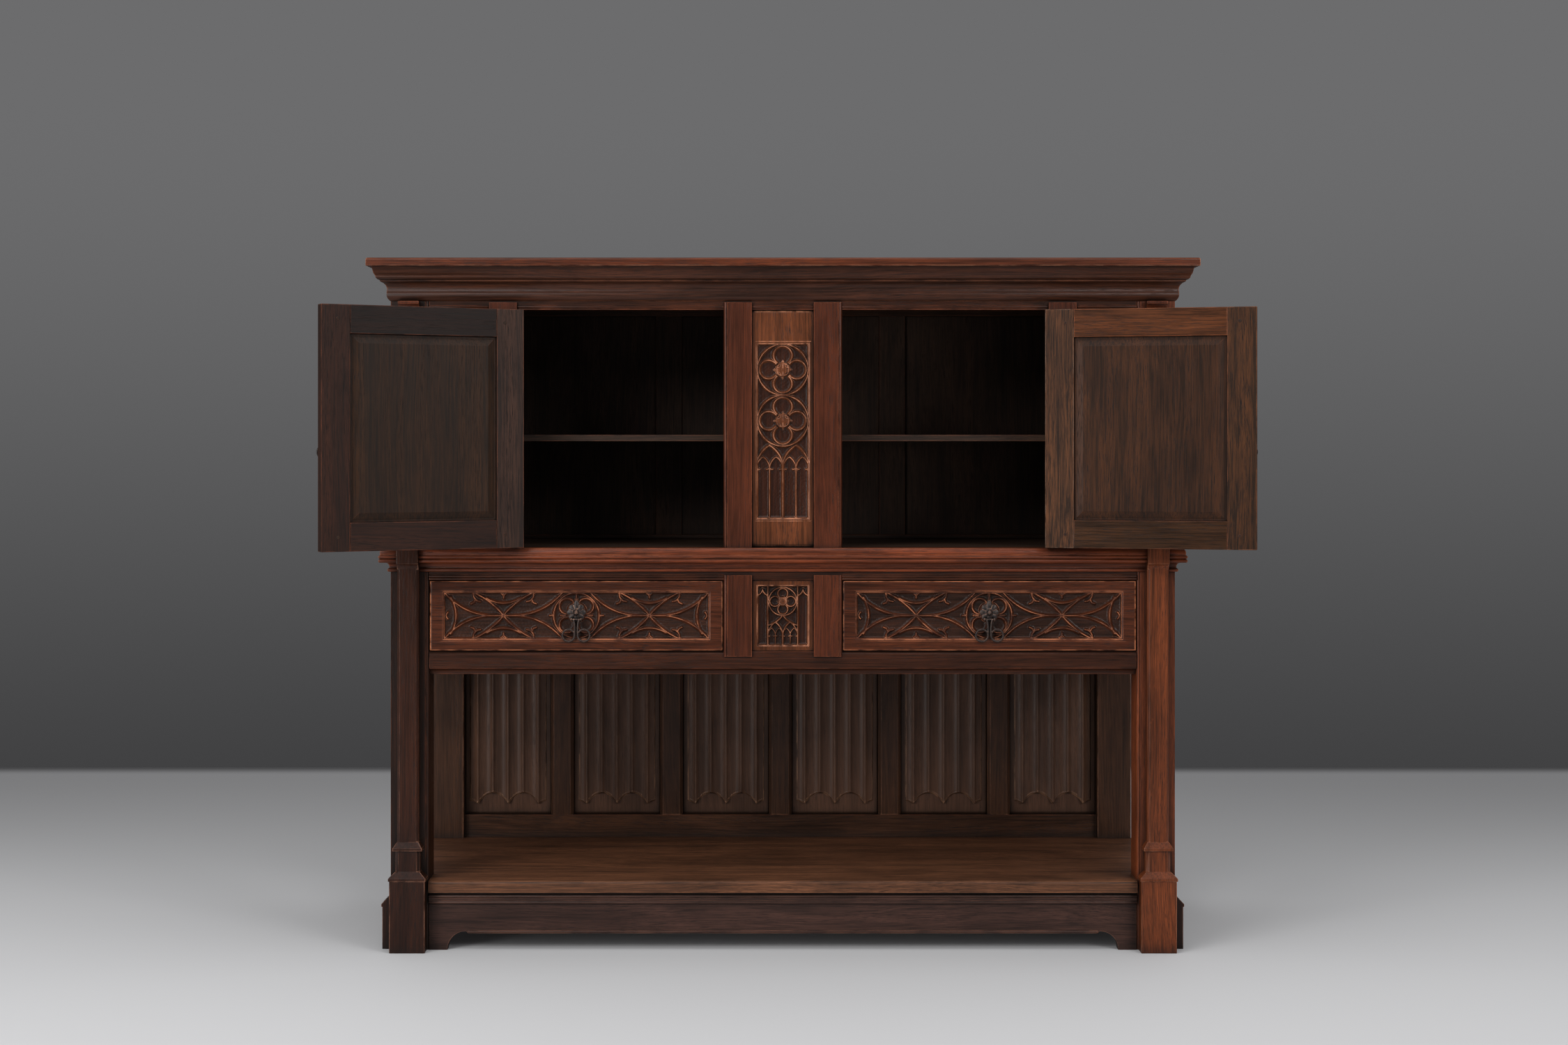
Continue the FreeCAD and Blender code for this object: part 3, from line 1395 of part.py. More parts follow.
def crossing_ribs(name, x, outwards):
    """The curved ribs about one of the two crossings in a drawer's field."""
    reach = FIELD_HALF_LENGTH * (1 - CROSSING_SHARE)
    height = FIELD_HALF_HEIGHT
    z = DRAWER_MIDDLE

    def carved(piece, start, end, bulge):
        first = (x + start[0], z + start[1])
        last = (x + end[0], z + end[1])
        width = SIZE.carving_rib
        return rib(f"{name}_{piece}", first, last, bulge, width, HANDLE_FACE, SIZE.carving_relief)

    bar = reach * BOWL_START_SHARE
    ribs = [carved("bar", (-bar, NONE), (bar, NONE), 0)]
    for up in (-1, 1):
        rise = height * up
        spandrel_x = reach * SPANDREL_SHARES[0]
        spandrel_z = rise * SPANDREL_SHARES[1]
        ribs.append(carved(
            f"spandrel_{up + 1}", (-spandrel_x, spandrel_z), (spandrel_x, spandrel_z),
            -SPANDREL_ARC_SHARE * up,
        ))
        for across in (-1, 1):
            run = reach * across
            turn = up * across
            arm_end = (run * ARM_END_SHARES[0], rise * ARM_END_SHARES[1])
            bowl_end = (run * BOWL_END_SHARES[0], rise * BOWL_END_SHARES[1])
            place = f"{up + 1}_{across + 1}"
            ribs.append(carved(f"arm_{place}", (NONE, NONE), arm_end, ARM_ARC_SHARE * turn))
            ribs.append(carved(f"bowl_{place}", (bar * across, NONE), bowl_end, -BOWL_ARC_SHARE * turn))
    end_x = reach * END_ARC_SHARES[0] * outwards
    end_z = height * END_ARC_SHARES[1]
    ribs.append(carved("end", (end_x, end_z), (end_x, -end_z), -END_ARC_SHARE * outwards))
    return ribs


def drawer_carving(side):
    """Two crossings and a roundel with the raised seat of the handle, as on a gothic frieze."""
    name = f"{side_name(side)}_drawer"
    x = HANDLE_X if side == RIGHT else -HANDLE_X
    crossing = FIELD_HALF_LENGTH * CROSSING_SHARE
    radius = FIELD_HALF_HEIGHT - SIZE.roundel_gap
    place = radius * SALTIRE_PLACE_SHARE * DIAGONAL_SHARE
    places = [(place, place), (-place, place), (place, -place), (-place, -place)]
    pieces = crossing_ribs(f"{name}_low_crossing", x - crossing, LEFT)
    pieces += crossing_ribs(f"{name}_high_crossing", x + crossing, RIGHT)
    pieces.append(quatrefoil(
        f"{name}_roundel", x, DRAWER_MIDDLE, radius, SIZE.carving_rib, HANDLE_FACE, SIZE.carving_relief,
        places, radius * SALTIRE_FOIL_SHARE, SIZE.seat_radius,
    ))
    seat = ring_of_points(x, DRAWER_MIDDLE, SIZE.seat_radius + SIZE.carving_rib / 2, SEAT_SIDES, 0)
    pieces.append(pad(f"{name}_seat", "XZ", [seat], HANDLE_FACE, SIZE.carving_relief))
    return pieces


def drawer(side):
    """A carved front on a plain box of two sides and a back, with a bottom let into it."""
    name = side_name(side)
    x_front = mirrored_span(side, DRAWER_INNER, DRAWER_OUTER)
    front_back = FRONT + SIZE.drawer_front_thickness
    plate = box(f"{name}_drawer_plate", x_front, (FRONT, front_back), (DRAWER_LOW, DRAWER_HIGH))
    hollow = box(
        f"{name}_drawer_field",
        (x_front[0] + SIZE.drawer_end_border, x_front[1] - SIZE.drawer_end_border),
        (FRONT, FRONT + SIZE.carving_depth),
        (DRAWER_LOW + SIZE.drawer_edge_border, DRAWER_HIGH - SIZE.drawer_edge_border),
    )
    ground = cut(f"{name}_drawer_ground", plate, hollow)
    node(f"{name}_drawer_front", [fuse(f"{name}_drawer_front_solid", [ground] + drawer_carving(side))])
    x_box = mirrored_span(side, BOX_INNER, BOX_OUTER)
    wall = SIZE.drawer_side
    inside = (x_box[0] + wall, x_box[1] - wall)
    bottom_low = DRAWER_LOW + SIZE.drawer_bottom_lift
    bottom_high = bottom_low + SIZE.drawer_bottom
    z_span = (DRAWER_LOW, BOX_HIGH)
    walls = [
        box(f"{name}_drawer_side_a", (x_box[0], inside[0]), (front_back, BOX_BACK), z_span),
        box(f"{name}_drawer_side_b", (inside[1], x_box[1]), (front_back, BOX_BACK), z_span),
        box(f"{name}_drawer_back", inside, (BOX_BACK - wall, BOX_BACK), (bottom_high, BOX_HIGH)),
    ]
    node(f"{name}_drawer_box", walls)
    bottom = box(f"{name}_drawer_bottom_board", inside, (front_back, BOX_BACK), (bottom_low, bottom_high))
    node(f"{name}_drawer_bottom", [bottom])


# Drop handles. Each is drawn about its own rosette's centre, on the face it is fixed to.

def rosette(name):
    """A leafy plate with a boss and, below it, two ears that hold the bail's pin."""
    face = -SIZE.rosette_thickness
    pin_y = -SIZE.bail_pin_stand
    pin_z = -SIZE.bail_pin_drop
    leaf_root = SIZE.rosette_radius - SIZE.rosette_petal
    leaves = [
        (x, z, -LEAF_SHARE) for x, z in ring_of_points(NONE, NONE, leaf_root, LEAF_COUNT, 1 / 2)
    ]
    boss = ring_of_points(NONE, NONE, SIZE.rosette_boss_radius, LEAF_COUNT, 0)
    pieces = [
        pad(f"{name}_leaves", "XZ", [leaves], face, SIZE.rosette_thickness),
        pad(f"{name}_boss", "XZ", [boss], face - SIZE.rosette_boss_height, SIZE.rosette_boss_height),
    ]
    ear_inner = SIZE.ear_spacing / 2
    ear_outer = ear_inner + SIZE.ear_thickness
    z_ear = (pin_z - SIZE.ear_half, pin_z + SIZE.ear_half)
    bores = []
    for side in (LEFT, RIGHT):
        piece = f"{name}_{side_name(side)}"
        span = mirrored_span(side, ear_inner, ear_outer)
        pieces.append(box(f"{piece}_ear", span, (pin_y - SIZE.ear_half, NONE), z_ear))
        bores.append(rod(
            f"{piece}_ear_bore", "X", (span[0] - SIZE.ear_thickness, pin_y, pin_z),
            SIZE.bail_pin_radius + SIZE.bail_pin_play, SIZE.ear_thickness * 3,
        ))
    z_tail = (pin_z - SIZE.ear_half, NONE)
    pieces.append(box(f"{name}_tail", (-ear_outer, ear_outer), (face, NONE), z_tail))
    return cut(f"{name}_solid", fuse(f"{name}_blank", pieces), fuse(f"{name}_bores", bores))


def forged_ring(name, x, z, y_middle):
    """A ring forged with flats: many-sided round the finger, eight-sided across the wire."""
    wire = SIZE.bail_wire
    radius = SIZE.bail_ring_radius
    outer = ring_of_points(x, z, radius + wire, RING_SIDES, 0)
    inner = ring_of_points(x, z, radius - wire, RING_SIDES, 0)
    body = pad(name, "XZ", [outer, inner], y_middle - wire, wire * 2)
    middle_plane = y_middle.number
    half_wire = (wire / 2).number
    doc.recompute()
    feature = body.Tip
    names = [
        f"Edge{index}" for index, edge in enumerate(feature.Shape.Edges, start=1)
        if abs(edge.CenterOfMass.y - middle_plane) > half_wire
    ]
    flats = body.newObject("PartDesign::Chamfer", f"{name}_flats")
    flats.Base = (feature, names)
    bind(flats, "Size", wire * OCTAGON_SHARE)
    body.Tip = flats
    return body


def bail(name):
    """A pin across the ears, with two curved stems that end in rings side by side."""
    length = SIZE.ear_spacing + SIZE.ear_thickness * 2
    pin_y = -SIZE.bail_pin_stand
    pin_z = -SIZE.bail_pin_drop
    ring_z = pin_z - SIZE.bail_ring_drop
    pieces = [rod(f"{name}_pin", "X", (-length / 2, pin_y, pin_z), SIZE.bail_pin_radius, length)]
    stem = SIZE.bail_stem
    across, up = [SIZE.bail_ring_radius * share for share in STEM_FOOT_SHARES]
    for side in (LEFT, RIGHT):
        piece = f"{name}_{side_name(side)}"
        ring_x = SIZE.bail_ring_place * side
        head = (SIZE.bail_stem_place * side, pin_z)
        foot = (ring_x - across * side, ring_z + up)
        outline = rib_outline(head, foot, -STEM_ARC_SHARE * side, stem * 2)
        pieces.append(forged_ring(f"{piece}_ring", ring_x, ring_z, pin_y))
        pieces.append(pad(f"{piece}_stem", "XZ", [outline], pin_y - stem, stem * 2))
    return fuse(f"{name}_solid", pieces)


def place_at(part, x, y, z):
    """Moves a piece from its own centre to its place on the object."""
    for letter, length in zip("xyz", (x, y, z)):
        bind(part, f"Placement.Base.{letter}", length)


def drawer_handle(side):
    name = side_name(side)
    x = HANDLE_X if side == RIGHT else -HANDLE_X
    plate = rosette(f"{name}_drawer_rosette")
    ring_pair = bail(f"{name}_drawer_bail")
    node(f"{name}_drawer_rosette", [plate])
    node(f"{name}_drawer_bail", [ring_pair])
    for part in (plate, ring_pair):
        place_at(part, x, HANDLE_FACE, HANDLE_Z)


# Doors. Each is drawn shut, about its hinge pin, and then swung open.

HINGE_PIN_X = HINGE_STILE_INNER - SIZE.hinge_pin_inset
HINGE_PIN_Y = STILE_FRONT - SIZE.hinge_pin_lift
DOOR_LOW = WAIST_TOP + SIZE.door_gap
DOOR_HIGH = DOOR_HEAD - SIZE.door_gap
DOOR_FREE = HINGE_PIN_X - STILE_OUTER - SIZE.door_gap
DOOR_HUNG = SIZE.hinge_pin_inset - SIZE.door_gap
HINGE_PLACES = (WAIST_TOP + SIZE.hinge_end_distance, DOOR_HEAD - SIZE.hinge_end_distance)


def swing(part, side):
    """Turns a piece of a door about the hinge pin, to the angle at which the door stands open."""
    part.Placement = FreeCAD.Placement(FreeCAD.Vector(), FreeCAD.Rotation(FreeCAD.Vector(0, 0, 1), 90))
    bind(part, "Placement.Rotation.Angle", SIZE.right_door_angle if side == RIGHT else -SIZE.left_door_angle)
    bind(part, "Placement.Base.x", HINGE_PIN_X if side == RIGHT else -HINGE_PIN_X)
    bind(part, "Placement.Base.y", HINGE_PIN_Y)


def hung_span(side, from_hung, to_free):
    """A span along the door, as distances from the hung edge."""
    low = DOOR_HUNG - to_free
    high = DOOR_HUNG - from_hung
    return (low, high) if side == RIGHT else (-high, -low)


def door_panel(name, x_span, z_span, y_face):
    """A panel whose face has a raised field with sloping edges, towards the inside."""
    slope = SIZE.door_panel_slope
    groove = SIZE.door_groove
    field = groove + SIZE.door_panel_field
    back = y_face + SIZE.door_panel_thickness - slope
    plate = box(f"{name}_plate", x_span, (y_face, back), z_span)
    raised = doc.addObject("Part::Wedge", f"{name}_raised")
    raised.Placement = FreeCAD.Placement(FreeCAD.Vector(), FreeCAD.Rotation())
    bind(raised, "Xmin", x_span[0] + groove)
    bind(raised, "Xmax", x_span[1] - groove)
    bind(raised, "Zmin", z_span[0] + groove)
    bind(raised, "Zmax", z_span[1] - groove)
    bind(raised, "X2min", x_span[0] + field)
    bind(raised, "X2max", x_span[1] - field)
    bind(raised, "Z2min", z_span[0] + field)
    bind(raised, "Z2max", z_span[1] - field)
    bind(raised, "Ymin", back)
    bind(raised, "Ymax", back + slope)
    return fuse(f"{name}_solid", [plate, raised])


def door(side):
    """Two stiles, two rails and a fielded panel."""
    name = f"{side_name(side)}_door"
    width = DOOR_FREE + DOOR_HUNG
    y_span = (SIZE.hinge_pin_lift, SIZE.hinge_pin_lift + SIZE.door_thickness)
    z_span = (DOOR_LOW, DOOR_HIGH)
    stile = SIZE.door_stile
    z_panel = (DOOR_LOW + SIZE.door_rail, DOOR_HIGH - SIZE.door_rail)
    between = hung_span(side, stile, width - stile)
    frame = [
        box(f"{name}_hung_stile", hung_span(side, NONE, stile), y_span, z_span),
        box(f"{name}_free_stile", hung_span(side, width - stile, width), y_span, z_span),
        box(f"{name}_low_rail", between, y_span, (DOOR_LOW, z_panel[0])),
        box(f"{name}_top_rail", between, y_span, (z_panel[1], DOOR_HIGH)),
    ]
    swing(node(f"{name}_frame", frame), side)
    panel = door_panel(f"{name}_panel", between, z_panel, SIZE.hinge_pin_lift + SIZE.door_panel_back)
    swing(node(f"{name}_panel", [panel]), side)


def hinge_leaf(name, direction, knuckle_spans, leaf_span, has_pin):
    """One leaf with its knuckles, drawn about the pin. direction is the side the leaf lies on."""
    near = SIZE.hinge_barrel_radius + SIZE.hinge_leaf_gap
    far = near + SIZE.hinge_leaf_width
    y_span = (SIZE.hinge_pin_lift - SIZE.hinge_leaf, SIZE.hinge_pin_lift)
    low, high = leaf_span
    pieces = [box(f"{name}_plate", mirrored_span(direction, near, far), y_span, leaf_span)]
    for index, (start, end) in enumerate(knuckle_spans):
        reach = mirrored_span(direction, NONE, near)
        pieces.append(box(f"{name}_strap_{index}", reach, y_span, (start, end)))
        pieces.append(rod(
            f"{name}_knuckle_{index}", "Z", (NONE, NONE, start), SIZE.hinge_barrel_radius, end - start
        ))
    if has_pin:
        pieces.append(rod(f"{name}_pin", "Z", (NONE, NONE, low), SIZE.hinge_pin_radius, high - low))
        return fuse(f"{name}_solid", pieces)
    bore_radius = SIZE.hinge_pin_radius + SIZE.hinge_bore_play
    bore = rod(f"{name}_bore", "Z", (NONE, NONE, low), bore_radius, high - low)
    return cut(f"{name}_solid", fuse(f"{name}_blank", pieces), bore)


def hinges(side):
    """Two butt hinges. The frame's leaf holds the pin and the outer knuckles."""
    name = side_name(side)
    fixed = []
    hung = []
    for index, middle in enumerate(HINGE_PLACES):
        low = middle - SIZE.hinge_length / 2
        high = middle + SIZE.hinge_length / 2
        inner_low = middle - SIZE.hinge_knuckle / 2
        inner_high = middle + SIZE.hinge_knuckle / 2
        gap = SIZE.hinge_knuckle_gap
        outer_knuckles = [(low, inner_low - gap), (inner_high + gap, high)]
        leaf = hinge_leaf(f"{name}_frame_leaf_{index}", side, outer_knuckles, (low, high), True)
        bind(leaf, "Placement.Base.x", HINGE_PIN_X if side == RIGHT else -HINGE_PIN_X)
        bind(leaf, "Placement.Base.y", HINGE_PIN_Y)
        fixed.append(leaf)
        middle_knuckle = [(inner_low, inner_high)]
        hung.append(hinge_leaf(f"{name}_door_leaf_{index}", -side, middle_knuckle, (low, high), False))
    node(f"{name}_frame_hinges", fixed)
    swing(node(f"{name}_door_hinges", hung), side)


def door_handle(side):
    """A drop handle like the drawers', on the outer face of the free stile."""
    name = f"{side_name(side)}_door"
    width = DOOR_FREE + DOOR_HUNG
    span = hung_span(side, width - SIZE.door_stile, width)
    x = (span[0] + span[1]) / 2
    z = (DOOR_LOW + DOOR_HIGH) / 2
    for kind, make in (("rosette", rosette), ("bail", bail)):
        piece = make(f"{name}_{kind}")
        place_at(piece, x, SIZE.hinge_pin_lift, z)
        holder = doc.addObject("Part::Compound", f"{name}_{kind}_on_door")
        holder.Links = [piece]
        node(f"{name}_{kind}", [holder])
        swing(holder, side)


for each_side in (LEFT, RIGHT):
    front_post(each_side)
    buttress(each_side)
rear_posts()
side_feet()
pilasters()
plinth_front()
plinth_sides()
lower_shelf()
plinth_moulding()
back_rails()
lower_muntins()
for panel_number in range(1, 7):
    linenfold_panel(panel_number)
upper_back()
drawer_rail()
waist_rail()
waist_moulding()
drawer_stiles()
stage_sides()
drawer_runners()
cabinet_floor()
cabinet_sides()
head_rail()
centre_stiles()
hinge_stiles()
narrow_panels()
cabinet_shelf()
cornice()
top_board()
tracery_panel()
small_panel()
for each_side in (LEFT, RIGHT):
    drawer(each_side)
    drawer_handle(each_side)
    door(each_side)
    hinges(each_side)
    door_handle(each_side)

doc.recompute()

# Nothing is written unless every piece is sound
for item in doc.Objects:
    faults = [state for state in item.State if state in ("Invalid", "Error")]
    if faults:
        raise RuntimeError(f"{item.Label} did not build: {faults}")
for part in nodes:
    if part.Shape.isNull() or not part.Shape.isValid():
        raise RuntimeError(f"{part.Label} has no sound shape")

os.makedirs("parts", exist_ok=True)
for part in nodes:
    part.Shape.exportStep(f"parts/{part.Label}.step")
print(f"{len(nodes)} nodes, {sum(len(part.Shape.Solids) for part in nodes)} solids")
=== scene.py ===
# %% [markdown]
# A court cupboard in dark oak
#
# This lesson dresses a cupboard whose construction is already fixed: every board, hinge and
# handle comes in from the frame at its real size, and stays where it is. What is left for us is
# what a restorer would see close up: the run of the grain, the polish, the worn arrises, the
# carving and the forged iron. X runs along the front, Y runs from the front to the back, and Z
# runs up from the floor. The frame is in metres, and carvings and handles are drawn in
# millimetres.

from math import atan, copysign, cos, exp, pi, radians, sin

import bmesh
import bpy
import numpy as np
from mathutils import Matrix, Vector


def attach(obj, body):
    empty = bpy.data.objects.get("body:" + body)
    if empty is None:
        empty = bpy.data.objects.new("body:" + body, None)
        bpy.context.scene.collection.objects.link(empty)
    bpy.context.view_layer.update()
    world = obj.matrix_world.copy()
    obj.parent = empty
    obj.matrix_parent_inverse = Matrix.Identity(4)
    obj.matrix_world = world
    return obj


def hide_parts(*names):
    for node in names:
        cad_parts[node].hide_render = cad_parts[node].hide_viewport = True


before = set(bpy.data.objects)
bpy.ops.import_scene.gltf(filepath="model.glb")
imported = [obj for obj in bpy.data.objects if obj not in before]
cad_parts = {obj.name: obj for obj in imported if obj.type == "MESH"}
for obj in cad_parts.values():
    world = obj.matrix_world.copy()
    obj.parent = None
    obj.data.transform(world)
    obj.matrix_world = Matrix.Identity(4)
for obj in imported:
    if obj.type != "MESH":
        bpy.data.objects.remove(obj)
scene = bpy.context.scene
MM = 0.001
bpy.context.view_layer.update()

# %% [markdown]
# The camera stands level, a little left of the middle, at the height of the cabinet shelf. A
# level camera keeps the posts upright in the picture, so the picture is framed by shifting the
# lens and not by tilting it. The shift is the distance from the picture's middle to the point
# that the camera looks at, as a share of the picture's width.

# %% Camera
PICTURE_WIDTH, PICTURE_HEIGHT = 2250, 1500
LOOK_X, LOOK_Y = 1090, 640


def put(name, data):
    """An object in the scene that shows the data."""
    made = bpy.data.objects.new(name, data)
    scene.collection.objects.link(made)
    return made


camera_data = bpy.data.cameras.new("camera")
camera_data.lens = 50
camera_data.sensor_width = 36
camera_data.shift_x = (PICTURE_WIDTH / 2 - LOOK_X) / PICTURE_WIDTH
camera_data.shift_y = (LOOK_Y - PICTURE_HEIGHT / 2) / PICTURE_WIDTH
camera = put("camera", camera_data)
camera.location = (-0.0435, -4.304, 0.945)
camera.rotation_euler = (radians(90), 0, 0)
scene.camera = camera
scene.view_settings.view_transform = "Standard"
print("camera at", [round(value, 3) for value in camera.location])

# %% [markdown]
# Nodes are easier to read when each is made in one line. A helper adds a node, sets its
# properties, and fills each socket with a plain value or with the output of another node. Sockets
# that share a name, as those of the mix node do, are given by number. Materials are kept by name.

# %% Node helpers
MATERIALS = {}


def feed(tree, node, values):
    """Fills a node's inputs, by name or number, with plain values or other nodes' outputs."""
    for name, value in values.items():
        if isinstance(value, bpy.types.NodeSocket):
            tree.links.new(value, node.inputs[name])
        else:
            node.inputs[name].default_value = value


def add(tree, kind, values=None, **settings):
    """Adds a node, and gives back its outputs."""
    made = tree.nodes.new("ShaderNode" + kind)
    for name, value in settings.items():
        setattr(made, name, value)
    feed(tree, made, values or {})
    return made.outputs


def maths(tree, operation, first, second=0.0, clamp=False):
    sockets = {0: first, 1: second}
    return add(tree, "Math", sockets, operation=operation, use_clamp=clamp)[0]


def times(tree, first, second):
    return maths(tree, "MULTIPLY", first, second)


def plus(tree, first, second, clamp=False):
    return maths(tree, "ADD", first, second, clamp)


def mix_colour(tree, share, first, second, blend="MIX"):
    sockets = {0: share, 6: first, 7: second}
    return add(tree, "Mix", sockets, data_type="RGBA", blend_type=blend)[2]


def steps(tree, value, low, high, to_low=0.0, to_high=1.0):
    """A smooth step between two values."""
    ends = {"From Min": low, "From Max": high, "To Min": to_low, "To Max": to_high}
    return add(tree, "MapRange", {"Value": value, **ends}, interpolation_type="SMOOTHSTEP")[0]


def place_and_axes(tree, output="Object"):
    """The point on the surface, and its X, Y and Z on their own."""
    place = add(tree, "TexCoord")[output]
    return place, add(tree, "SeparateXYZ", {0: place})


def new_group(name, inputs, outputs):
    """A shader node group. An input's default, a number, a colour or none, says its kind."""
    group = bpy.data.node_groups.new(name, "ShaderNodeTree")
    for socket_name, value in inputs.items():
        kind = {float: "Float", tuple: "Color"}.get(type(value), "Vector")
        socket = group.interface.new_socket(
            socket_name, in_out="INPUT", socket_type="NodeSocket" + kind
        )
        if value is not None:
            socket.default_value = value
    for socket_name in outputs:
        kind = "Color" if socket_name == "Colour" else "Float"
        group.interface.new_socket(socket_name, in_out="OUTPUT", socket_type="NodeSocket" + kind)
    return group, group.nodes.new("NodeGroupInput").outputs, group.nodes.new("NodeGroupOutput")


def use_group(tree, group, values):
    return add(tree, "Group", values, node_tree=group)


def new_material(name):
    """A material's node tree and its shader. The material is kept under its name."""
    material = bpy.data.materials.new(name)
    material.use_nodes = True
    MATERIALS[name] = material
    return material.node_tree, material.node_tree.nodes["Principled BSDF"]


def colour(red, green, blue):
    """A screen colour, from 0 to 255, as the linear colour that the shader works in."""
    shares = [value / 255 for value in (red, green, blue)]
    linear = [s / 12.92 if s < 0.04045 else ((s + 0.055) / 1.055) ** 2.4 for s in shares]
    return (*linear, 1.0)


print("node helpers ready")

# %% [markdown]
# Oak shows four things at once. Broad growth bands wander along the board, fine streaks follow
# them, short dark pores lie between the streaks, and a few pale flecks cross them. All of them
# are stretched along the grain, so one group takes a point whose Z axis runs along the grain, and
# gives back each effect as a mask. Noise is a better start than a wood texture here, because
# old quartered oak shows streaks and not round rings.

# %% Group: oak grain
WANDER = 0.06


def stretched_noise(tree, vector, across, along, detail=3.0, roughness=0.55, distortion=0.0):
    """Noise with its own scale across the grain and along it, in features to the metre."""
    scaled = add(tree, "VectorMath", {0: vector, 1: (across, across, along)}, operation="MULTIPLY")
    return add(tree, "TexNoise", {
        "Vector": scaled[0], "Scale": 1.0, "Detail": detail, "Roughness": roughness,
        "Distortion": distortion,
    })["Fac"]


grain_group, given, result = new_group(
    "oak_grain", {"Point": None}, ("Bands", "Streaks", "Pores", "Flecks", "Height")
)
tree = grain_group
wander = stretched_noise(tree, given["Point"], 3.0, 1.1, 2.0)
sideways = times(tree, maths(tree, "SUBTRACT", wander, 0.5), WANDER)
shift = add(tree, "CombineXYZ", {"X": sideways, "Y": sideways})[0]
point = add(tree, "VectorMath", {0: given["Point"], 1: shift}, operation="ADD")[0]
bands = stretched_noise(tree, point, 42.0, 1.3, 3.0)
streaks = stretched_noise(tree, point, 340.0, 9.0, 4.0, 0.72)
pore_noise = stretched_noise(tree, point, 950.0, 42.0, 2.0)
pores = times(tree, steps(tree, pore_noise, 0.53, 0.66), steps(tree, bands, 0.35, 0.62))
flecks = steps(tree, stretched_noise(tree, point, 120.0, 45.0, 2.0, 0.5, 0.6), 0.66, 0.76)
height = maths(tree, "SUBTRACT", times(tree, streaks, 0.6), times(tree, pores, 0.8))
feed(tree, result, {
    "Bands": bands, "Streaks": streaks, "Pores": pores, "Flecks": flecks, "Height": height,
})
print("oak_grain has", len(tree.nodes), "nodes")

# %% [markdown]
# Hands, cloths and knees wear a cupboard on its outer edges, while wax and dust stay in the
# hollows. The worn edge line also serves as a painted highlight along each arris, and the dark
# of the hollows is partly painted shade. Both can be read from the shape itself. A bevelled
# normal differs from the true one near an edge, and ambient occlusion is low in a hollow. An
# edge that stands in the open is worn, and an edge in a corner isn't. The group breaks the worn
# line up with noise, because nobody rubs a board evenly.

# %% Group: wear and hollows
wear_group, given, result = new_group(
    "wear_and_hollows", {"Point": None, "Edge width": 0.003, "Hollow width": 0.03},
    ("Wear", "Hollow"),
)
tree = wear_group
soft_normal = add(tree, "Bevel", {"Radius": given["Edge width"]}, samples=4)[0]
true_normal = add(tree, "NewGeometry")["True Normal"]
likeness = add(
    tree, "VectorMath", {0: soft_normal, 1: true_normal}, operation="DOT_PRODUCT"
)["Value"]
edge = steps(tree, likeness, 0.985, 0.86)
open_share = add(
    tree, "AmbientOcclusion", {"Distance": given["Hollow width"]}, samples=6
)["AO"]
patches = stretched_noise(tree, given["Point"], 55.0, 22.0, 4.0, 0.6)
rubbed = times(tree, edge, steps(tree, open_share, 0.45, 0.75))
# Wear marks open edges, which are worn and also carry a painted highlight. Hollow marks the
# hollows, darkened by grime and by painted shade.
feed(tree, result, {
    "Wear": times(tree, rubbed, steps(tree, patches, 0.36, 0.62)),
    "Hollow": steps(tree, open_share, 0.9, 0.4),
})
print("wear_and_hollows has", len(tree.nodes), "nodes")

# %% [markdown]
# One recipe serves all the oak. The growth bands and streaks run between a dark and a light
# tone, broad stains shift both, pores stay dark, hollows hold grime and painted shade, and rubbed
# arrises show the worn tone, which also paints their highlight. The group takes those tones and
# gives back a colour, a roughness and a height, so that two boards differ in their values alone.

# %% Group: aged oak
BAND_SHARE = 0.35
STREAK_SHARE = 0.65
CONTRAST = 7.0
FLECK_SHARE = 0.3
DARK_STAIN, LIGHT_STAIN = 0.72, 1.22
aged_group, given, result = new_group(
    "aged_oak",
    {"Point": None, "Dark": (0.02, 0.01, 0.008, 1), "Light": (0.08, 0.04, 0.025, 1),
     "Worn and lit": (0.2, 0.08, 0.04, 1), "Grime and shade": (0.008, 0.005, 0.004, 1), "Grain": 0.6, "Wear": 0.7,
     "Hollow dust and shade": 0.7, "Polish": 0.4, "Edge width": 0.003, "Hollow width": 0.03},
    ("Colour", "Roughness", "Height"),
)
tree = aged_group
grain = use_group(tree, grain_group, {"Point": given["Point"]})
wear = use_group(
    tree, wear_group, {name: given[name] for name in ("Point", "Edge width", "Hollow width")}
)
tone = plus(tree, times(tree, grain["Bands"], BAND_SHARE),
            times(tree, grain["Streaks"], STREAK_SHARE))
contrast = times(tree, maths(tree, "SUBTRACT", tone, 0.5), CONTRAST)
tone = plus(tree, times(tree, contrast, given["Grain"]), 0.5, clamp=True)
board = mix_colour(tree, tone, given["Dark"], given["Light"])
stain_noise = stretched_noise(tree, given["Point"], 9.0, 4.5, 5.0, 0.6)
stain = steps(tree, stain_noise, 0.32, 0.68, DARK_STAIN, LIGHT_STAIN)
stain_grey = add(tree, "CombineColor", {0: stain, 1: stain, 2: stain})[0]
board = mix_colour(tree, 1.0, board, stain_grey, "MULTIPLY")
# The hollows are darkened with the grime colour: partly wax and dust, partly painted shade.
hollow_dust_and_shade_mask = times(tree, wear["Hollow"], given["Hollow dust and shade"])
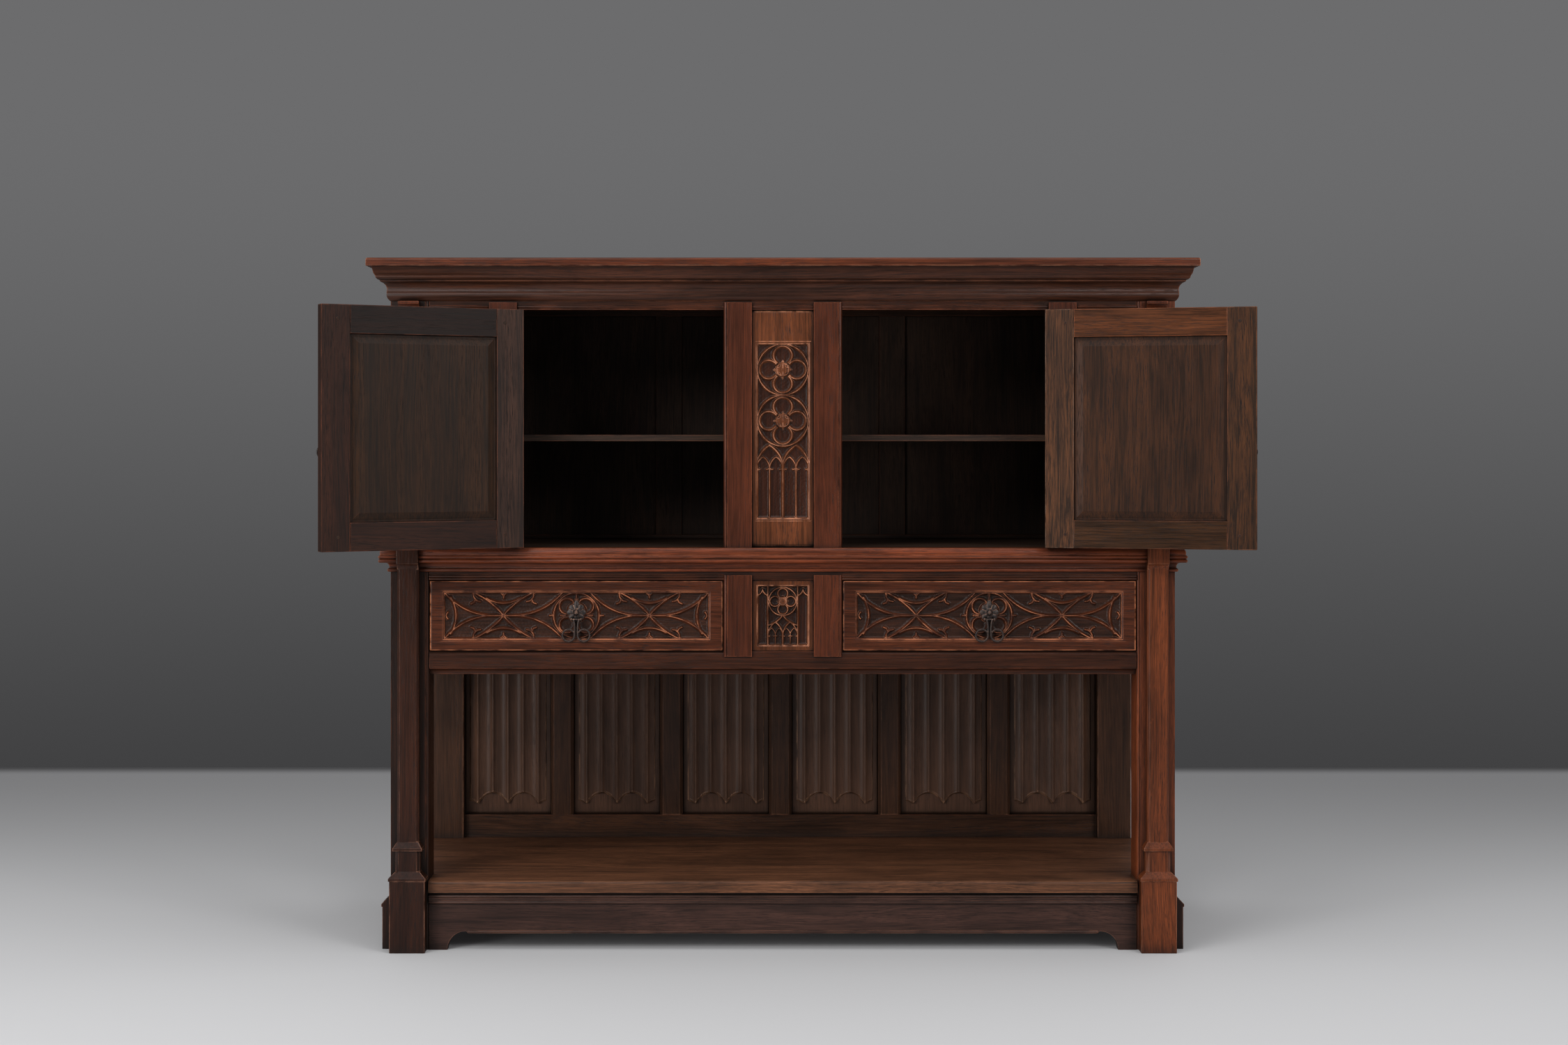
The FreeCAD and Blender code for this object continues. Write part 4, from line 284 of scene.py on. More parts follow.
# The worn colour on open arrises is real wear and also a painted highlight.
for share, layer in (
    (times(tree, grain["Pores"], given["Grain"]), "Grime and shade"),
    (times(tree, grain["Flecks"], FLECK_SHARE), "Light"),
    (hollow_dust_and_shade_mask, "Grime and shade"),
    (times(tree, wear["Wear"], given["Wear"]), "Worn and lit"),
):
    board = mix_colour(tree, share, board, given[layer])
matt = plus(tree, given["Polish"], times(tree, grain["Streaks"], 0.16))
matt = plus(tree, matt, times(tree, grain["Pores"], 0.15))
matt = plus(tree, matt, times(tree, hollow_dust_and_shade_mask, 0.25), clamp=True)
feed(tree, result, {
    "Colour": board, "Roughness": matt, "Height": times(tree, grain["Height"], given["Grain"]),
})
print("aged_oak has", len(tree.nodes), "nodes")

# %% [markdown]
# A board's grain runs along its length, so each material turns the point until that direction is
# Z. A moulding that returns along the side of the cupboard is a second board, mitred at the
# corner. There the surface looks sideways, which tells the material to take the grain along Y.
# The rails of a door run the way in which the open door stands. Wax lightens all oak by about
# the same amount, which is taken off each tone first.

# %% Oak finishes
LEFT_TURN, RIGHT_TURN = radians(-153), radians(166)
ALONG_X = Vector((1, 0, 0))
ALONG_Y = Vector((0, 1, 0))
UPRIGHT = Vector((0, 0, 1))
LEFT_DOOR_RUN = Vector((cos(LEFT_TURN), sin(LEFT_TURN), 0))
RIGHT_DOOR_RUN = Vector((-cos(RIGHT_TURN), -sin(RIGHT_TURN), 0))
# The dark of grime in the pores, and of painted shade in the hollows.
GRIME_AND_SHADE = (13, 9, 7)
WAX_VEIL = 12
DARKEST = 3
OAK_SHINE = 0.2
OAK_RELIEF = 0.35
PORE_DEPTH = 0.0006


def grain_point(tree, place, run, offset):
    """The point with the grain's direction turned to Z, moved so that boards differ."""
    turn = run.rotation_difference(UPRIGHT).to_euler()
    move = (offset, offset * 1.7, offset * 2.3)
    return add(tree, "Mapping", {"Vector": place, "Rotation": turn, "Location": move})[0]


def spread_tones(tone, spread):
    """A darker and a lighter colour about a tone."""
    return [colour(*[value * share for value in tone]) for share in (1 - spread, 1 + spread)]


def oak(name, tone, run=UPRIGHT, worn_and_lit=(128, 70, 44), spread=0.3, grain=0.6, wear=0.7, hollow_dust_and_shade=0.7,
        polish=0.29, returns=False, offset=0.0, edge_width=0.003, hollow_width=0.03, ground=None):
    """An oak material about one tone, given as a screen colour.

    ground gives a carved board the depth where its ground starts and the darker ground tone."""
    tree, shader = new_material(name)
    place, axes = place_and_axes(tree)
    point = grain_point(tree, place, run, offset)
    if returns:
        normal = add(tree, "NewGeometry")["True Normal"]
        facing = add(tree, "SeparateXYZ", {0: normal})
        sideways = maths(tree, "GREATER_THAN", maths(tree, "ABSOLUTE", facing["X"]),
                         plus(tree, maths(tree, "ABSOLUTE", facing["Y"]), 0.05))
        along_side = grain_point(tree, place, ALONG_Y, offset + 0.4)
        point = add(tree, "Mix", {0: sideways, 4: point, 5: along_side},
                    data_type="VECTOR")[1]
    tones = spread_tones([max(value - WAX_VEIL, DARKEST) for value in tone], spread)
    if ground:
        start, ground_tone = ground
        sunk = steps(tree, axes["Y"], start - 0.0012, start + 0.0008)
        tones = [mix_colour(tree, sunk, face, low)
                 for face, low in zip(tones, spread_tones(ground_tone, spread))]
    aged = use_group(tree, aged_group, {
        "Point": point, "Dark": tones[0], "Light": tones[1], "Worn and lit": colour(*worn_and_lit),
        "Grime and shade": colour(*GRIME_AND_SHADE), "Grain": grain, "Wear": wear, "Hollow dust and shade": hollow_dust_and_shade, "Polish": polish,
        "Edge width": edge_width, "Hollow width": hollow_width,
    })
    bump = add(tree, "Bump", {
        "Strength": OAK_RELIEF, "Distance": PORE_DEPTH, "Height": aged["Height"],
    })
    feed(tree, shader, {
        "Base Color": aged["Colour"], "Roughness": aged["Roughness"], "Normal": bump[0],
        "Specular IOR Level": OAK_SHINE,
    })


oak("top_oak", (82, 44, 27), ALONG_X, worn_and_lit=(150, 100, 74), returns=True, wear=0.9)
oak("cornice_oak", (66, 41, 30), ALONG_X, worn_and_lit=(128, 76, 50), returns=True, offset=1.1, wear=0.8)
# The right post and shaft are painted far lighter than the left ones: painted light, for the light
# that falls more on the right.
oak("left_post_oak", (48, 29, 20), offset=2.2)
oak("right_post_oak", (103, 56, 34), offset=3.1)
oak("left_shaft_oak", (53, 31, 21), worn_and_lit=(150, 104, 82), offset=2.9, wear=0.9)
oak("right_shaft_oak", (98, 54, 32), worn_and_lit=(152, 100, 74), offset=3.8, wear=0.9)
oak("stile_oak", (80, 43, 27), worn_and_lit=(140, 78, 50), offset=4.7, spread=0.22)
oak("rail_oak", (59, 34, 22), ALONG_X, worn_and_lit=(128, 68, 42), offset=5.3)
oak("waist_oak", (100, 52, 31), ALONG_X, worn_and_lit=(150, 84, 52), returns=True, offset=6.1, wear=0.95)
oak("plinth_oak", (64, 46, 40), ALONG_X, worn_and_lit=(120, 80, 62), offset=7.9)
oak("shelf_oak", (90, 61, 44), ALONG_X, worn_and_lit=(138, 88, 58), returns=True, offset=8.3,
    spread=0.34, polish=0.42)
oak("lower_oak", (63, 43, 31), worn_and_lit=(150, 104, 78), offset=9.1, grain=0.5, wear=0.9)
oak("linen_oak", (81, 59, 47), worn_and_lit=(150, 112, 86), offset=10.4, spread=0.2, grain=0.4,
    wear=0.8, edge_width=0.002, hollow_width=0.02)
oak("back_rail_oak", (62, 42, 30), ALONG_X, worn_and_lit=(118, 62, 38), offset=10.9)
oak("inner_oak", (52, 38, 29), offset=11.6, polish=0.55, wear=0.3)
oak("inner_rail_oak", (54, 40, 31), ALONG_X, offset=12.8, polish=0.52, wear=0.5)
oak("runner_oak", (66, 50, 38), ALONG_Y, offset=13.5, polish=0.6, wear=0.3)
oak("drawer_box_oak", (96, 72, 52), ALONG_Y, offset=14.2, polish=0.6, wear=0.4, hollow_dust_and_shade=0.4)
oak("side_rail_oak", (66, 43, 34), ALONG_Y, offset=15.0)
oak("side_panel_oak", (68, 44, 34), offset=16.1, spread=0.34)
print(len(MATERIALS), "oak finishes")

# %% [markdown]
# The fixed boards keep the shapes that the frame gives them. They lack only what a plane and a
# cloth leave: arrises that are never quite sharp. A weld joins the faces of each solid, and a
# bevel of about a millimetre then catches the light along every edge. The table gives a finish,
# the width of the bevel in millimetres, and the nodes that take them.

# %% Dress the fixed boards
WELD_REACH = 0.000002
BEVEL_FROM = radians(38)


def soften(piece, width):
    weld = piece.modifiers.new("weld", "WELD")
    weld.merge_threshold = WELD_REACH
    bevel = piece.modifiers.new("eased arrises", "BEVEL")
    bevel.width = width * MM
    bevel.segments = 2
    bevel.limit_method = "ANGLE"
    bevel.angle_limit = BEVEL_FROM


def dress(piece, finish):
    piece.data.materials.clear()
    piece.data.materials.append(MATERIALS[finish])


def dress_node(node_name, finish, width):
    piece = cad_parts[node_name]
    soften(piece, width)
    dress(piece, finish)


BOARDS = (
    ("top_oak", 0.8, "top_board"), ("cornice_oak", 0.7, "cornice"),
    ("left_post_oak", 0.9, "left_front_post"), ("right_post_oak", 0.9, "right_front_post"),
    ("left_shaft_oak", 0.8, "left_buttress", "side_feet"),
    ("right_shaft_oak", 0.8, "right_buttress"), ("stile_oak", 0.7, "pilasters"),
    ("stile_oak", 0.8, "centre_stiles", "hinge_stiles", "drawer_stiles"),
    ("rail_oak", 0.5, "head_rail", "waist_rail"), ("rail_oak", 0.8, "drawer_rail"),
    ("waist_oak", 0.5, "waist_moulding"), ("plinth_oak", 1.0, "plinth_front"),
    ("plinth_oak", 0.4, "plinth_moulding"), ("shelf_oak", 0.8, "lower_shelf"),
    ("lower_oak", 0.6, "lower_muntins"), ("lower_oak", 0.8, "rear_posts"),
    ("back_rail_oak", 0.6, "back_rails"), ("side_rail_oak", 0.8, "plinth_sides"),
    ("inner_oak", 0.5, "narrow_panels"), ("inner_rail_oak", 0.6, "cabinet_floor"),
    ("inner_rail_oak", 1.0, "cabinet_shelf"),
    ("runner_oak", 0.6, "shelf_battens", "drawer_runners"),
)
for finish, width, *node_names in BOARDS:
    for node_name in node_names:
        dress_node(node_name, finish, width)
print("dressed the nodes of", len(BOARDS), "rows of fixed boards")

# %% [markdown]
# A few nodes hold boards that run in different directions, such as the stiles and rails of a
# door. One material can't follow both, so each board is copied out of its node as a piece of its
# own, which stands exactly where the solid is. In the cupboard's sides, a board that is deeper
# than it is high is a rail, and the others are stiles and panels.

# %% Boards taken out of a shared node
BOX_FACES = 12
BOX_CORNERS = 8


def boards_in(node_name):
    """The boards of a node, in the order in which they were made, as corners and triangles."""
    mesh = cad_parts[node_name].data
    triangles = [
        [tuple(round(value, 6) for value in mesh.vertices[index].co) for index in face.vertices]
        for face in mesh.polygons
    ]
    boards = []
    for first in range(0, len(triangles), BOX_FACES):
        own = triangles[first:first + BOX_FACES]
        corners = sorted({corner for triangle in own for corner in triangle})
        assert len(corners) == BOX_CORNERS, f"{node_name} holds a board that is no box"
        boards.append((corners, [[corners.index(corner) for corner in face] for face in own]))
    return boards


def new_piece(name, corners, faces, body, slot, finish, *node_names):
    mesh = bpy.data.meshes.new(name)
    mesh.from_pydata(corners, [], faces)
    mesh.validate()
    piece = put(name, mesh)
    dress(piece, finish)
    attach(piece, body)
    if node_names:
        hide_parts(*node_names)
    return piece


def new_board(name, board, body, slot, finish, node_name, width):
    """A board of its own: its triangles are merged to flat sides and its arrises eased."""
    piece = new_piece(name, *board, body, slot, finish, node_name)
    shape = bmesh.new()
    shape.from_mesh(piece.data)
    bmesh.ops.dissolve_limit(shape, angle_limit=radians(1), verts=shape.verts, edges=shape.edges)
    shape.to_mesh(piece.data)
    shape.free()
    soften(piece, width)


for node_name in ("cabinet_sides", "stage_sides"):
    boards = boards_in(node_name)
    for number, board in enumerate(boards, start=1):
        depth, height = (
            max(corner[axis] for corner in board[0]) - min(corner[axis] for corner in board[0])
            for axis in (1, 2)
        )
        finish = "side_rail_oak" if depth > height else "side_panel_oak"
        new_board(f"{node_name}_board_{number}", board, "root", "oak", finish, node_name, 0.8)
    print(node_name, "holds", len(boards), "boards")

# %% [markdown]
# The doors stand open, so their inner faces look at us. They kept a duller, drier finish than the
# front, and each board has aged in its own way: the left door is nearly black, the right one
# shows a red top rail and grey, open-grained stiles. The board farthest out on the hinge side is
# the hung stile, the one at the other end is the free stile, and the rails lie between them.

# %% The door frames
DOOR_MIDDLE = 0.977
oak("left_free_stile_oak", (48, 29, 20), offset=17.2, grain=0.8, polish=0.45)
oak("left_hung_stile_oak", (59, 42, 34), offset=18.1, grain=0.9, polish=0.46)
oak("left_low_rail_oak", (48, 29, 20), LEFT_DOOR_RUN, offset=18.9, polish=0.45)
oak("left_top_rail_oak", (34, 22, 17), LEFT_DOOR_RUN, offset=19.7, polish=0.42, spread=0.42)
oak("right_free_stile_oak", (64, 41, 24), offset=20.4, grain=0.95, polish=0.46, spread=0.36,
    worn_and_lit=(160, 96, 60))
oak("right_hung_stile_oak", (74, 49, 32), offset=21.6, grain=1.0, polish=0.48, spread=0.38,
    worn_and_lit=(150, 122, 104))
oak("right_low_rail_oak", (58, 39, 25), RIGHT_DOOR_RUN, offset=22.5, grain=0.8)
oak("right_top_rail_oak", (80, 48, 28), RIGHT_DOOR_RUN, offset=23.3, grain=0.7,
    worn_and_lit=(170, 96, 58))
oak("left_door_panel_oak", (48, 32, 20), offset=24.2, grain=0.75, polish=0.42)
oak("right_door_panel_oak", (59, 37, 22), offset=25.7, grain=0.8, polish=0.4)
for side, hung_end, free_end in (("left", max, min), ("right", min, max)):
    door = f"{side}_door"
    boards = boards_in(f"{door}_frame")
    middles = [[sum(corner[axis] for corner in corners) / len(corners) for axis in range(3)]
               for corners, _ in boards]
    hung_x = hung_end(middle[0] for middle in middles)
    free_x = free_end(middle[0] for middle in middles)
    for board, middle in zip(boards, middles):
        if middle[0] == hung_x:
            part = "hung_stile"
        elif middle[0] == free_x:
            part = "free_stile"
        else:
            part = "top_rail" if middle[2] > DOOR_MIDDLE else "low_rail"
        new_board(f"{door}_{part}", board, door, "oak_door_inner", f"{side}_{part}_oak",
                  f"{door}_frame", 1.0)
    dress_node(f"{door}_panel", f"{door}_panel_oak", 0.7)
    print(door, "has", len(boards), "boards and a panel")

# %% [markdown]
# The drawers slide on oak boxes with paler, unpolished sides, and the back is closed with upright
# boards. These show when a drawer is pulled out or the cupboard is turned round.

# %% Drawer boxes and back boards
for side in ("left", "right"):
    for part in ("box", "bottom"):
        dress_node(f"{side}_drawer_{part}", "drawer_box_oak", 0.6)
dress_node("upper_back", "inner_oak", 1.2)
print("drawer boxes and back boards dressed")

# %% [markdown]
# Carving in low relief is a surface with one depth at each point, so it can be made as a height
# field: a fine grid whose points are pushed back into the board. A rib is drawn as a line. Its
# arris stays at the top, and beside it the wood falls away in the hollow curve that a gouge
# cuts, so the depth depends on the distance to the nearest line. This gives crisp ribs over
# dished ground, which flat steps can't. All lengths in this step are in millimetres.

# %% Carving helpers
CARVED_GROUND = 7.0
FAR_AWAY = 14.0
MARK_DEPTH = 0.16
# The border: a scribed line, a step, a fine bead and a hollow.
EDGE_PLACES = (-3.4, -2.9, -2.4, 0.0, 0.7, 1.5, 2.3, 3.4, 6.5)
EDGE_DEPTHS = (0.0, 0.6, 0.0, 0.0, 1.9, 1.1, 1.6, CARVED_GROUND * 0.7, CARVED_GROUND)


def arc(start, end, bulge=0.0, step=2.0):
    """Points along the arc over a chord, whose rise is bulge times half the chord."""
    start, end = np.array(start, float), np.array(end, float)
    chord = end - start
    length = np.hypot(*chord)
    count = max(2, int(length * (1 + bulge * bulge) / step) + 2)
    if bulge == 0:
        return start + chord * np.linspace(0, 1, count)[:, None]
    along = chord / length
    across = np.array([-along[1], along[0]])
    half_turn = 2 * atan(bulge)
    radius = length / 2 / sin(half_turn)
    turn = np.linspace(-half_turn, half_turn, count)[:, None]
    rise = radius * np.cos(turn) - (radius - bulge * length / 2)
    return (start + end) / 2 + along * radius * np.sin(turn) + across * rise


def circle(x, z, radius, first=0.0, last=360.0, step=1.6):
    """Points on a circle, from one angle to another in degrees."""
    count = max(8, int(abs(last - first) / 360 * 2 * pi * radius / step))
    turn = np.radians(np.linspace(first, last, count))
    return np.stack([x + radius * np.cos(turn), z + radius * np.sin(turn)], 1)


def away_from(lines, x, z):
    """The distance from each point to the nearest line, up to a limit."""
    nearest = np.full(x.shape, FAR_AWAY)
    for line in lines:
        for first, last in zip(line[:-1], line[1:]):
            run = last - first
            share = ((x - first[0]) * run[0] + (z - first[1]) * run[1]) / (run @ run)
            share = np.clip(share, 0, 1)
            away = np.hypot(x - first[0] - share * run[0], z - first[1] - share * run[1])
            np.minimum(nearest, away, out=nearest)
    return nearest


def gouged(away, top, reach, half_arris=0.5, curve=2.6):
    """The depth beside a rib: its arris, then a hollow side down to the ground."""
    share = np.clip((away - half_arris) / reach, 0, 1)
    return top + (CARVED_GROUND - top) * (1 - (1 - share) ** curve)


def cut(x, z, ribs, fine, rib_cut, fine_cut):
    """The depth about bold ribs and fine cusps. Each cut holds what gouged takes."""
    return np.minimum(gouged(away_from(ribs, x, z), *rib_cut),
                      gouged(away_from(fine, x, z), *fine_cut))


def gouge_marks(x, z, depth):
    """Long shallow facets left by the gouge, where the carving is deep."""
    marks = np.sin(x * 0.83 + np.sin(z * 0.21) * 2) * np.sin(z * 0.57 + np.sin(x * 0.17) * 2)
    return depth + MARK_DEPTH * marks * np.clip(depth / 3 - 0.4, 0, 1)


def carved_board(name, xs, zs, front, back, depth, body, node_name, finish):
    """A closed board whose front is a grid pushed back by the carving's depth."""
    columns, rows = len(xs), len(zs)
    x, z = np.meshgrid(xs, zs)
    corners = np.stack([x, front + depth, z], -1).reshape(-1, 3)
    number = np.arange(columns * rows).reshape(rows, columns)
    quads = np.stack([number[:-1, :-1], number[:-1, 1:], number[1:, 1:], number[1:, :-1]], -1)
    rim = np.concatenate([number[0, :-1], number[:-1, -1], number[-1, :0:-1], number[:0:-1, 0]])
    behind = corners[rim].copy()
    behind[:, 1] = back
    first = columns * rows
    count = len(rim)
    sides = [
        (int(rim[i]), first + i, first + (i + 1) % count, int(rim[(i + 1) % count]))
        for i in range(count)
    ]
    faces = quads.reshape(-1, 4).tolist() + sides + [list(range(first + count - 1, first - 1, -1))]
    every = np.concatenate([corners, behind]) * MM
    piece = new_piece(name, every.tolist(), faces, body, "oak_carved", finish, node_name)
    for polygon in piece.data.polygons:
        polygon.use_smooth = polygon.index < len(faces) - 1 - count
    print(name, "has", len(every), "points, deepest", round(float(depth.max()), 2), "mm")


def carved_field(name, xs, zs, front, back, field, carving, body, node_name, finish):
    """A carved board with a moulded border about a field (lowest and highest x, then z)."""
    x, z = np.meshgrid(xs, zs)
    low_x, high_x, low_z, high_z = field
    inside = np.minimum(np.minimum(x - low_x, high_x - x), np.minimum(z - low_z, high_z - z))
    depth = np.interp(inside, EDGE_PLACES, EDGE_DEPTHS)
    depth = np.where(inside > 0, np.minimum(depth, carving), depth)
    carved_board(name, xs, zs, front, back, gouge_marks(x, z, depth), body, node_name, finish)


def spread_points(*spans):
    """Grid places over spans, each given as (start, end, step)."""
    places = [np.linspace(low, high, max(2, int(round((high - low) / step)) + 1))
              for low, high, step in spans]
    return np.unique(np.round(np.concatenate(places), 4))


print("carving helpers ready")

# %% [markdown]
# The centre panel has two roundels over a pair of pointed lights. Each roundel holds four round
# foils about a rose with four pointed petals. Foils and rim are thin ribs, so one list of circles
# and arcs draws them all. The rose is a ring with a boss, and its petals are low slopes.

# %% Roundels and lights
PANEL_FRONT, PANEL_BACK = -219, -205
PETAL_TOP = 1.7
FOIL_TURN = 142


def carve_rose(carving, x, z, middle_z, ring, tip, boss):
    """Adds a ring, a boss and four pointed petals to a carving."""
    radius = np.hypot(x, z - middle_z)
    rose = np.full(x.shape, CARVED_GROUND)
    for across, up in ((1, 0), (0, 1), (-1, 0), (0, -1)):
        along = across * x + up * (z - middle_z)
        beside = np.abs(up * x - across * (z - middle_z))
        petal = np.clip(np.minimum((tip - along) / 3.5, (tip - along) * 0.62 - beside), 0, 2) / 2
        petal = np.where(along > 0, petal, 0)
        ridge = np.clip(1.2 - beside, 0, 1.2) * petal
        rose = np.minimum(rose, CARVED_GROUND - (CARVED_GROUND - PETAL_TOP) * petal + ridge)
    inner = ring - 2.6
    cup_places = (0, boss * 0.6, boss, boss + 1.2, inner - 0.6, inner, ring - 1.3, ring, ring + 1.4)
    cup_depths = (1.2, 1.5, 2.6, 4.4, 4.2, 2.6, 1.1, 1.7, CARVED_GROUND)
    rose = np.minimum(rose, np.interp(radius, cup_places, cup_depths))
    return np.where(radius < ring, rose, np.minimum(carving, rose))


def roundel_lines(x, z, radius, foil, place, turned=False):
    """The rim and the four foils of a roundel. Turned foils stand on the diagonals."""
    lines = [circle(x, z, radius - 1.0)]
    for quarter in range(4):
        angle = quarter * 90 + (45 if turned else 0)
        foil_x = x + place * cos(radians(angle))
        foil_z = z + place * sin(radians(angle))
        lines.append(circle(foil_x, foil_z, foil, angle - FOIL_TURN, angle + FOIL_TURN))
    return lines


def pair_of_lights(reach, low, spring, apex, fork):
    """Two pointed lights beside each other: their outlines, and the fine lines inside them.

    The fine lines are a light's mullion, two small arches and their cusps."""
    ribs, fine = [], []
    rise = (apex - spring) * 0.62
    upper, lower = fork + rise * 0.12, fork - rise * 0.1
    for low_x, high_x in ((-reach, 0), (0, reach)):
        middle = (low_x + high_x) / 2
        tip = (middle, apex)
        ribs += [arc((low_x, low), (low_x, spring)), arc((high_x, low), (high_x, spring)),
                 arc((low_x, spring), tip, 0.2), arc(tip, (high_x, spring), 0.2)]
        fine.append(arc((middle, low), (middle, fork)))
        for start, end in ((low_x, middle), (middle, high_x)):
            top = ((start + end) / 2, fork + rise)
            hook = (end - start) * 0.24
            fine += [arc((start, fork), top, 0.24), arc(top, (end, fork), 0.24),
                     arc((start, upper), (start + hook, lower), -0.5),
                     arc((end - hook, lower), (end, upper), -0.5)]
    return ribs, fine


oak("tracery_oak", (96, 57, 36), worn_and_lit=(186, 124, 92), offset=26.3, spread=0.24, grain=0.7,
    wear=1.0, hollow_dust_and_shade=1.0, edge_width=0.0009, hollow_width=0.014, polish=0.24,
    ground=(-0.2135, (46, 22, 12)))
ROUNDEL_HEIGHTS = (1088, 992)
tracery_x = spread_points((-58, -52, 1.5), (-52, 52, 0.8), (52, 58, 1.5))
tracery_z = spread_points((754, 800, 8), (800, 1145, 0.8), (1145, 1200, 8))
x, z = np.meshgrid(tracery_x, tracery_z)
ribs, fine = pair_of_lights(49.5, 808, 911.9, 946, 903)
for middle_z in ROUNDEL_HEIGHTS:
    ribs += roundel_lines(0, middle_z, 48.6, 17.4, 26.5)
carving = cut(x, z, ribs, fine, (0.9, 6.5), (2.6, 4.5, 0.4))
for middle_z in ROUNDEL_HEIGHTS:
    carving = carve_rose(carving, x, z, middle_z, 12.7, 18.5, 4.2)
carved_field("tracery_carving", tracery_x, tracery_z, PANEL_FRONT, PANEL_BACK,
             (-50, 50, 807, 1138), carving, "root", "tracery_panel", "tracery_oak")

# %% [markdown]
# The small panel between the drawers repeats the theme at half the size: one roundel over a hood
# and two lights, with a narrow upright strip at each side.

# %% The small panel
SMALL_ROUNDEL = 653
small_x = spread_points((-58, -50, 1.5), (-50, 50, 0.7), (50, 58, 1.5))
small_z = spread_points((560, 567, 1.5), (567, 686, 0.7), (686, 693, 1.5))
x, z = np.meshgrid(small_x, small_z)
ribs, fine = pair_of_lights(28, 570, 592, 614, 589)
ribs += roundel_lines(0, SMALL_ROUNDEL, 27.5, 9.4, 14.8)
for side in (-1, 1):
    ribs += [
        arc((28 * side, 570), (28 * side, 684)),
        arc((28 * side, 608), (0, 627.5), 0.2 * side),
        arc((28 * side, 664), (38 * side, 675), -0.25 * side),
        arc((38 * side, 675), (47.5 * side, 664), -0.25 * side),
    ]
carving = cut(x, z, ribs, fine, (1.0, 5.0, 0.45), (2.8, 3.2, 0.35))
carving = carve_rose(carving, x, z, SMALL_ROUNDEL, 8.2, 12.0, 3.4)
carved_field("small_carving", small_x, small_z, PANEL_FRONT, PANEL_BACK, (-49, 49, 569, 684),
             carving, "root", "small_tracery_panel", "tracery_oak")

# %% [markdown]
# Each drawer front carries two crossings of curved ribs with a roundel between them. A crossing
# has a short bar, from which four bowls sweep out to the corners, two long arms that bend like
# an ogee, a small arch above and below, and hooked cusps that divide each leaf in two lobes.
# The pattern is symmetrical, so one crossing is drawn once and mirrored. The middle of the
# roundel stays high, as a seat for the handle, under a pointed leaf.

# %% The drawer fronts
DRAWER_FRONT, DRAWER_BACK = -222, -202
DRAWER_MIDDLE_X = 387
DRAWER_MIDDLE_Z = 626.5
HANDLE_Z = 633
CROSSING_PLACE = 136.8
HOOK = ((57.5, 43.5), (55.5, 34), (49.5, 27.5), (43.5, 26.5))
FORK = ((53, 30.5), (55.5, 24.5), (61, 22))


def crossing_lines(x, z, outwards):
    """The main ribs and the fine cusps about a crossing."""
    main = [arc((x - 27.3, z), (x + 27.3, z))]
    fine = []
    for up in (-1, 1):
        main.append(arc((x - 30.7, z + 32 * up), (x + 30.7, z + 32 * up), -0.28 * up))
        fine.append(arc((x, z + 44 * up), (x, z + 33 * up)))
        fine.append(arc((x - 4, z + 41 * up), (x, z + 34 * up), 0.3 * up))
        fine.append(arc((x + 4, z + 41 * up), (x, z + 34 * up), -0.3 * up))
        for across in (-1, 1):
            turn = up * across
            main.append(arc((x, z), (x + 59.1 * across, z + 44.6 * up), 0.13 * turn))
            arm_start, arm_end = (x + 27.3 * across, z), (x + 110.5 * across, z + 43 * up)
            main.append(arc(arm_start, arm_end, -0.2 * turn))
            fine += [np.array([(x + a * across, z + b * up) for a, b in cusp])
                     for cusp in (HOOK, FORK)]
    end_x = x + 98.9 * outwards
    main.append(arc((end_x, z + 34), (end_x, z - 34), -0.29 * outwards))
    tip_x = x + 104.5 * outwards
    fine.append(arc((tip_x, z + 6), (tip_x, z - 6), 0.5 * outwards))
    return main, fine


def leaf_and_seat(x, above, z):
    """The pointed leaf over the handle, and the round seat under it."""
    leaf = np.clip((43 - above) / 5, 0, 1) * np.clip((above - 12) / 4, 0, 1)
    leaf *= np.clip(1 - np.abs(x) / (1.5 + (44 - above) * 0.16), 0, 1)
    seat = np.interp(np.hypot(x, z - HANDLE_Z), (0, 16, 18, 20), (1.0, 1.0, 3.0, CARVED_GROUND))
    return np.minimum(CARVED_GROUND - 6.0 * np.clip(leaf * 1.6, 0, 1), seat)


oak("drawer_oak", (74, 41, 26), ALONG_X, worn_and_lit=(170, 104, 70), offset=27.4, spread=0.28,
    grain=0.7, wear=1.0, hollow_dust_and_shade=1.0, edge_width=0.0009, hollow_width=0.013, polish=0.26,
    ground=(-0.2165, (44, 24, 15)))
for side, name in ((-1, "left"), (1, "right")):
    drawer_x = spread_points((112.5, 134, 4), (134, 640, 0.95), (640, 661.5, 4)) * side
    drawer_x.sort()
    drawer_z = spread_points((561.5, 578, 3), (578, 675, 0.8), (675, 691.5, 3))
    x, z = np.meshgrid(drawer_x, drawer_z)
    middle_x, middle_z = DRAWER_MIDDLE_X * side, DRAWER_MIDDLE_Z
    ribs, fine = roundel_lines(middle_x, middle_z, 43.6, 14.6, 24.8, turned=True), []
    for direction in (-1, 1):
        main, cusps = crossing_lines(middle_x + CROSSING_PLACE * direction, middle_z, direction)
        ribs += main
        fine += cusps
        for outer, inner in ((50, 43.6), (30, 20)):
            fine.append(arc((middle_x + outer * direction, middle_z),
                            (middle_x + inner * direction, middle_z)))
    carving = cut(x, z, ribs, fine, (1.0, 8.5, 0.5, 3.0), (2.2, 5.5, 0.5))
    carving = np.minimum(carving, leaf_and_seat(x - middle_x, z - middle_z, z))
    field = (middle_x - 250.5, middle_x + 250.5, middle_z - 45, middle_z + 45)
    carved_field(f"{name}_drawer_carving", drawer_x, drawer_z, DRAWER_FRONT, DRAWER_BACK, field,
                 carving, f"{name}_drawer", f"{name}_drawer_front", "drawer_oak")

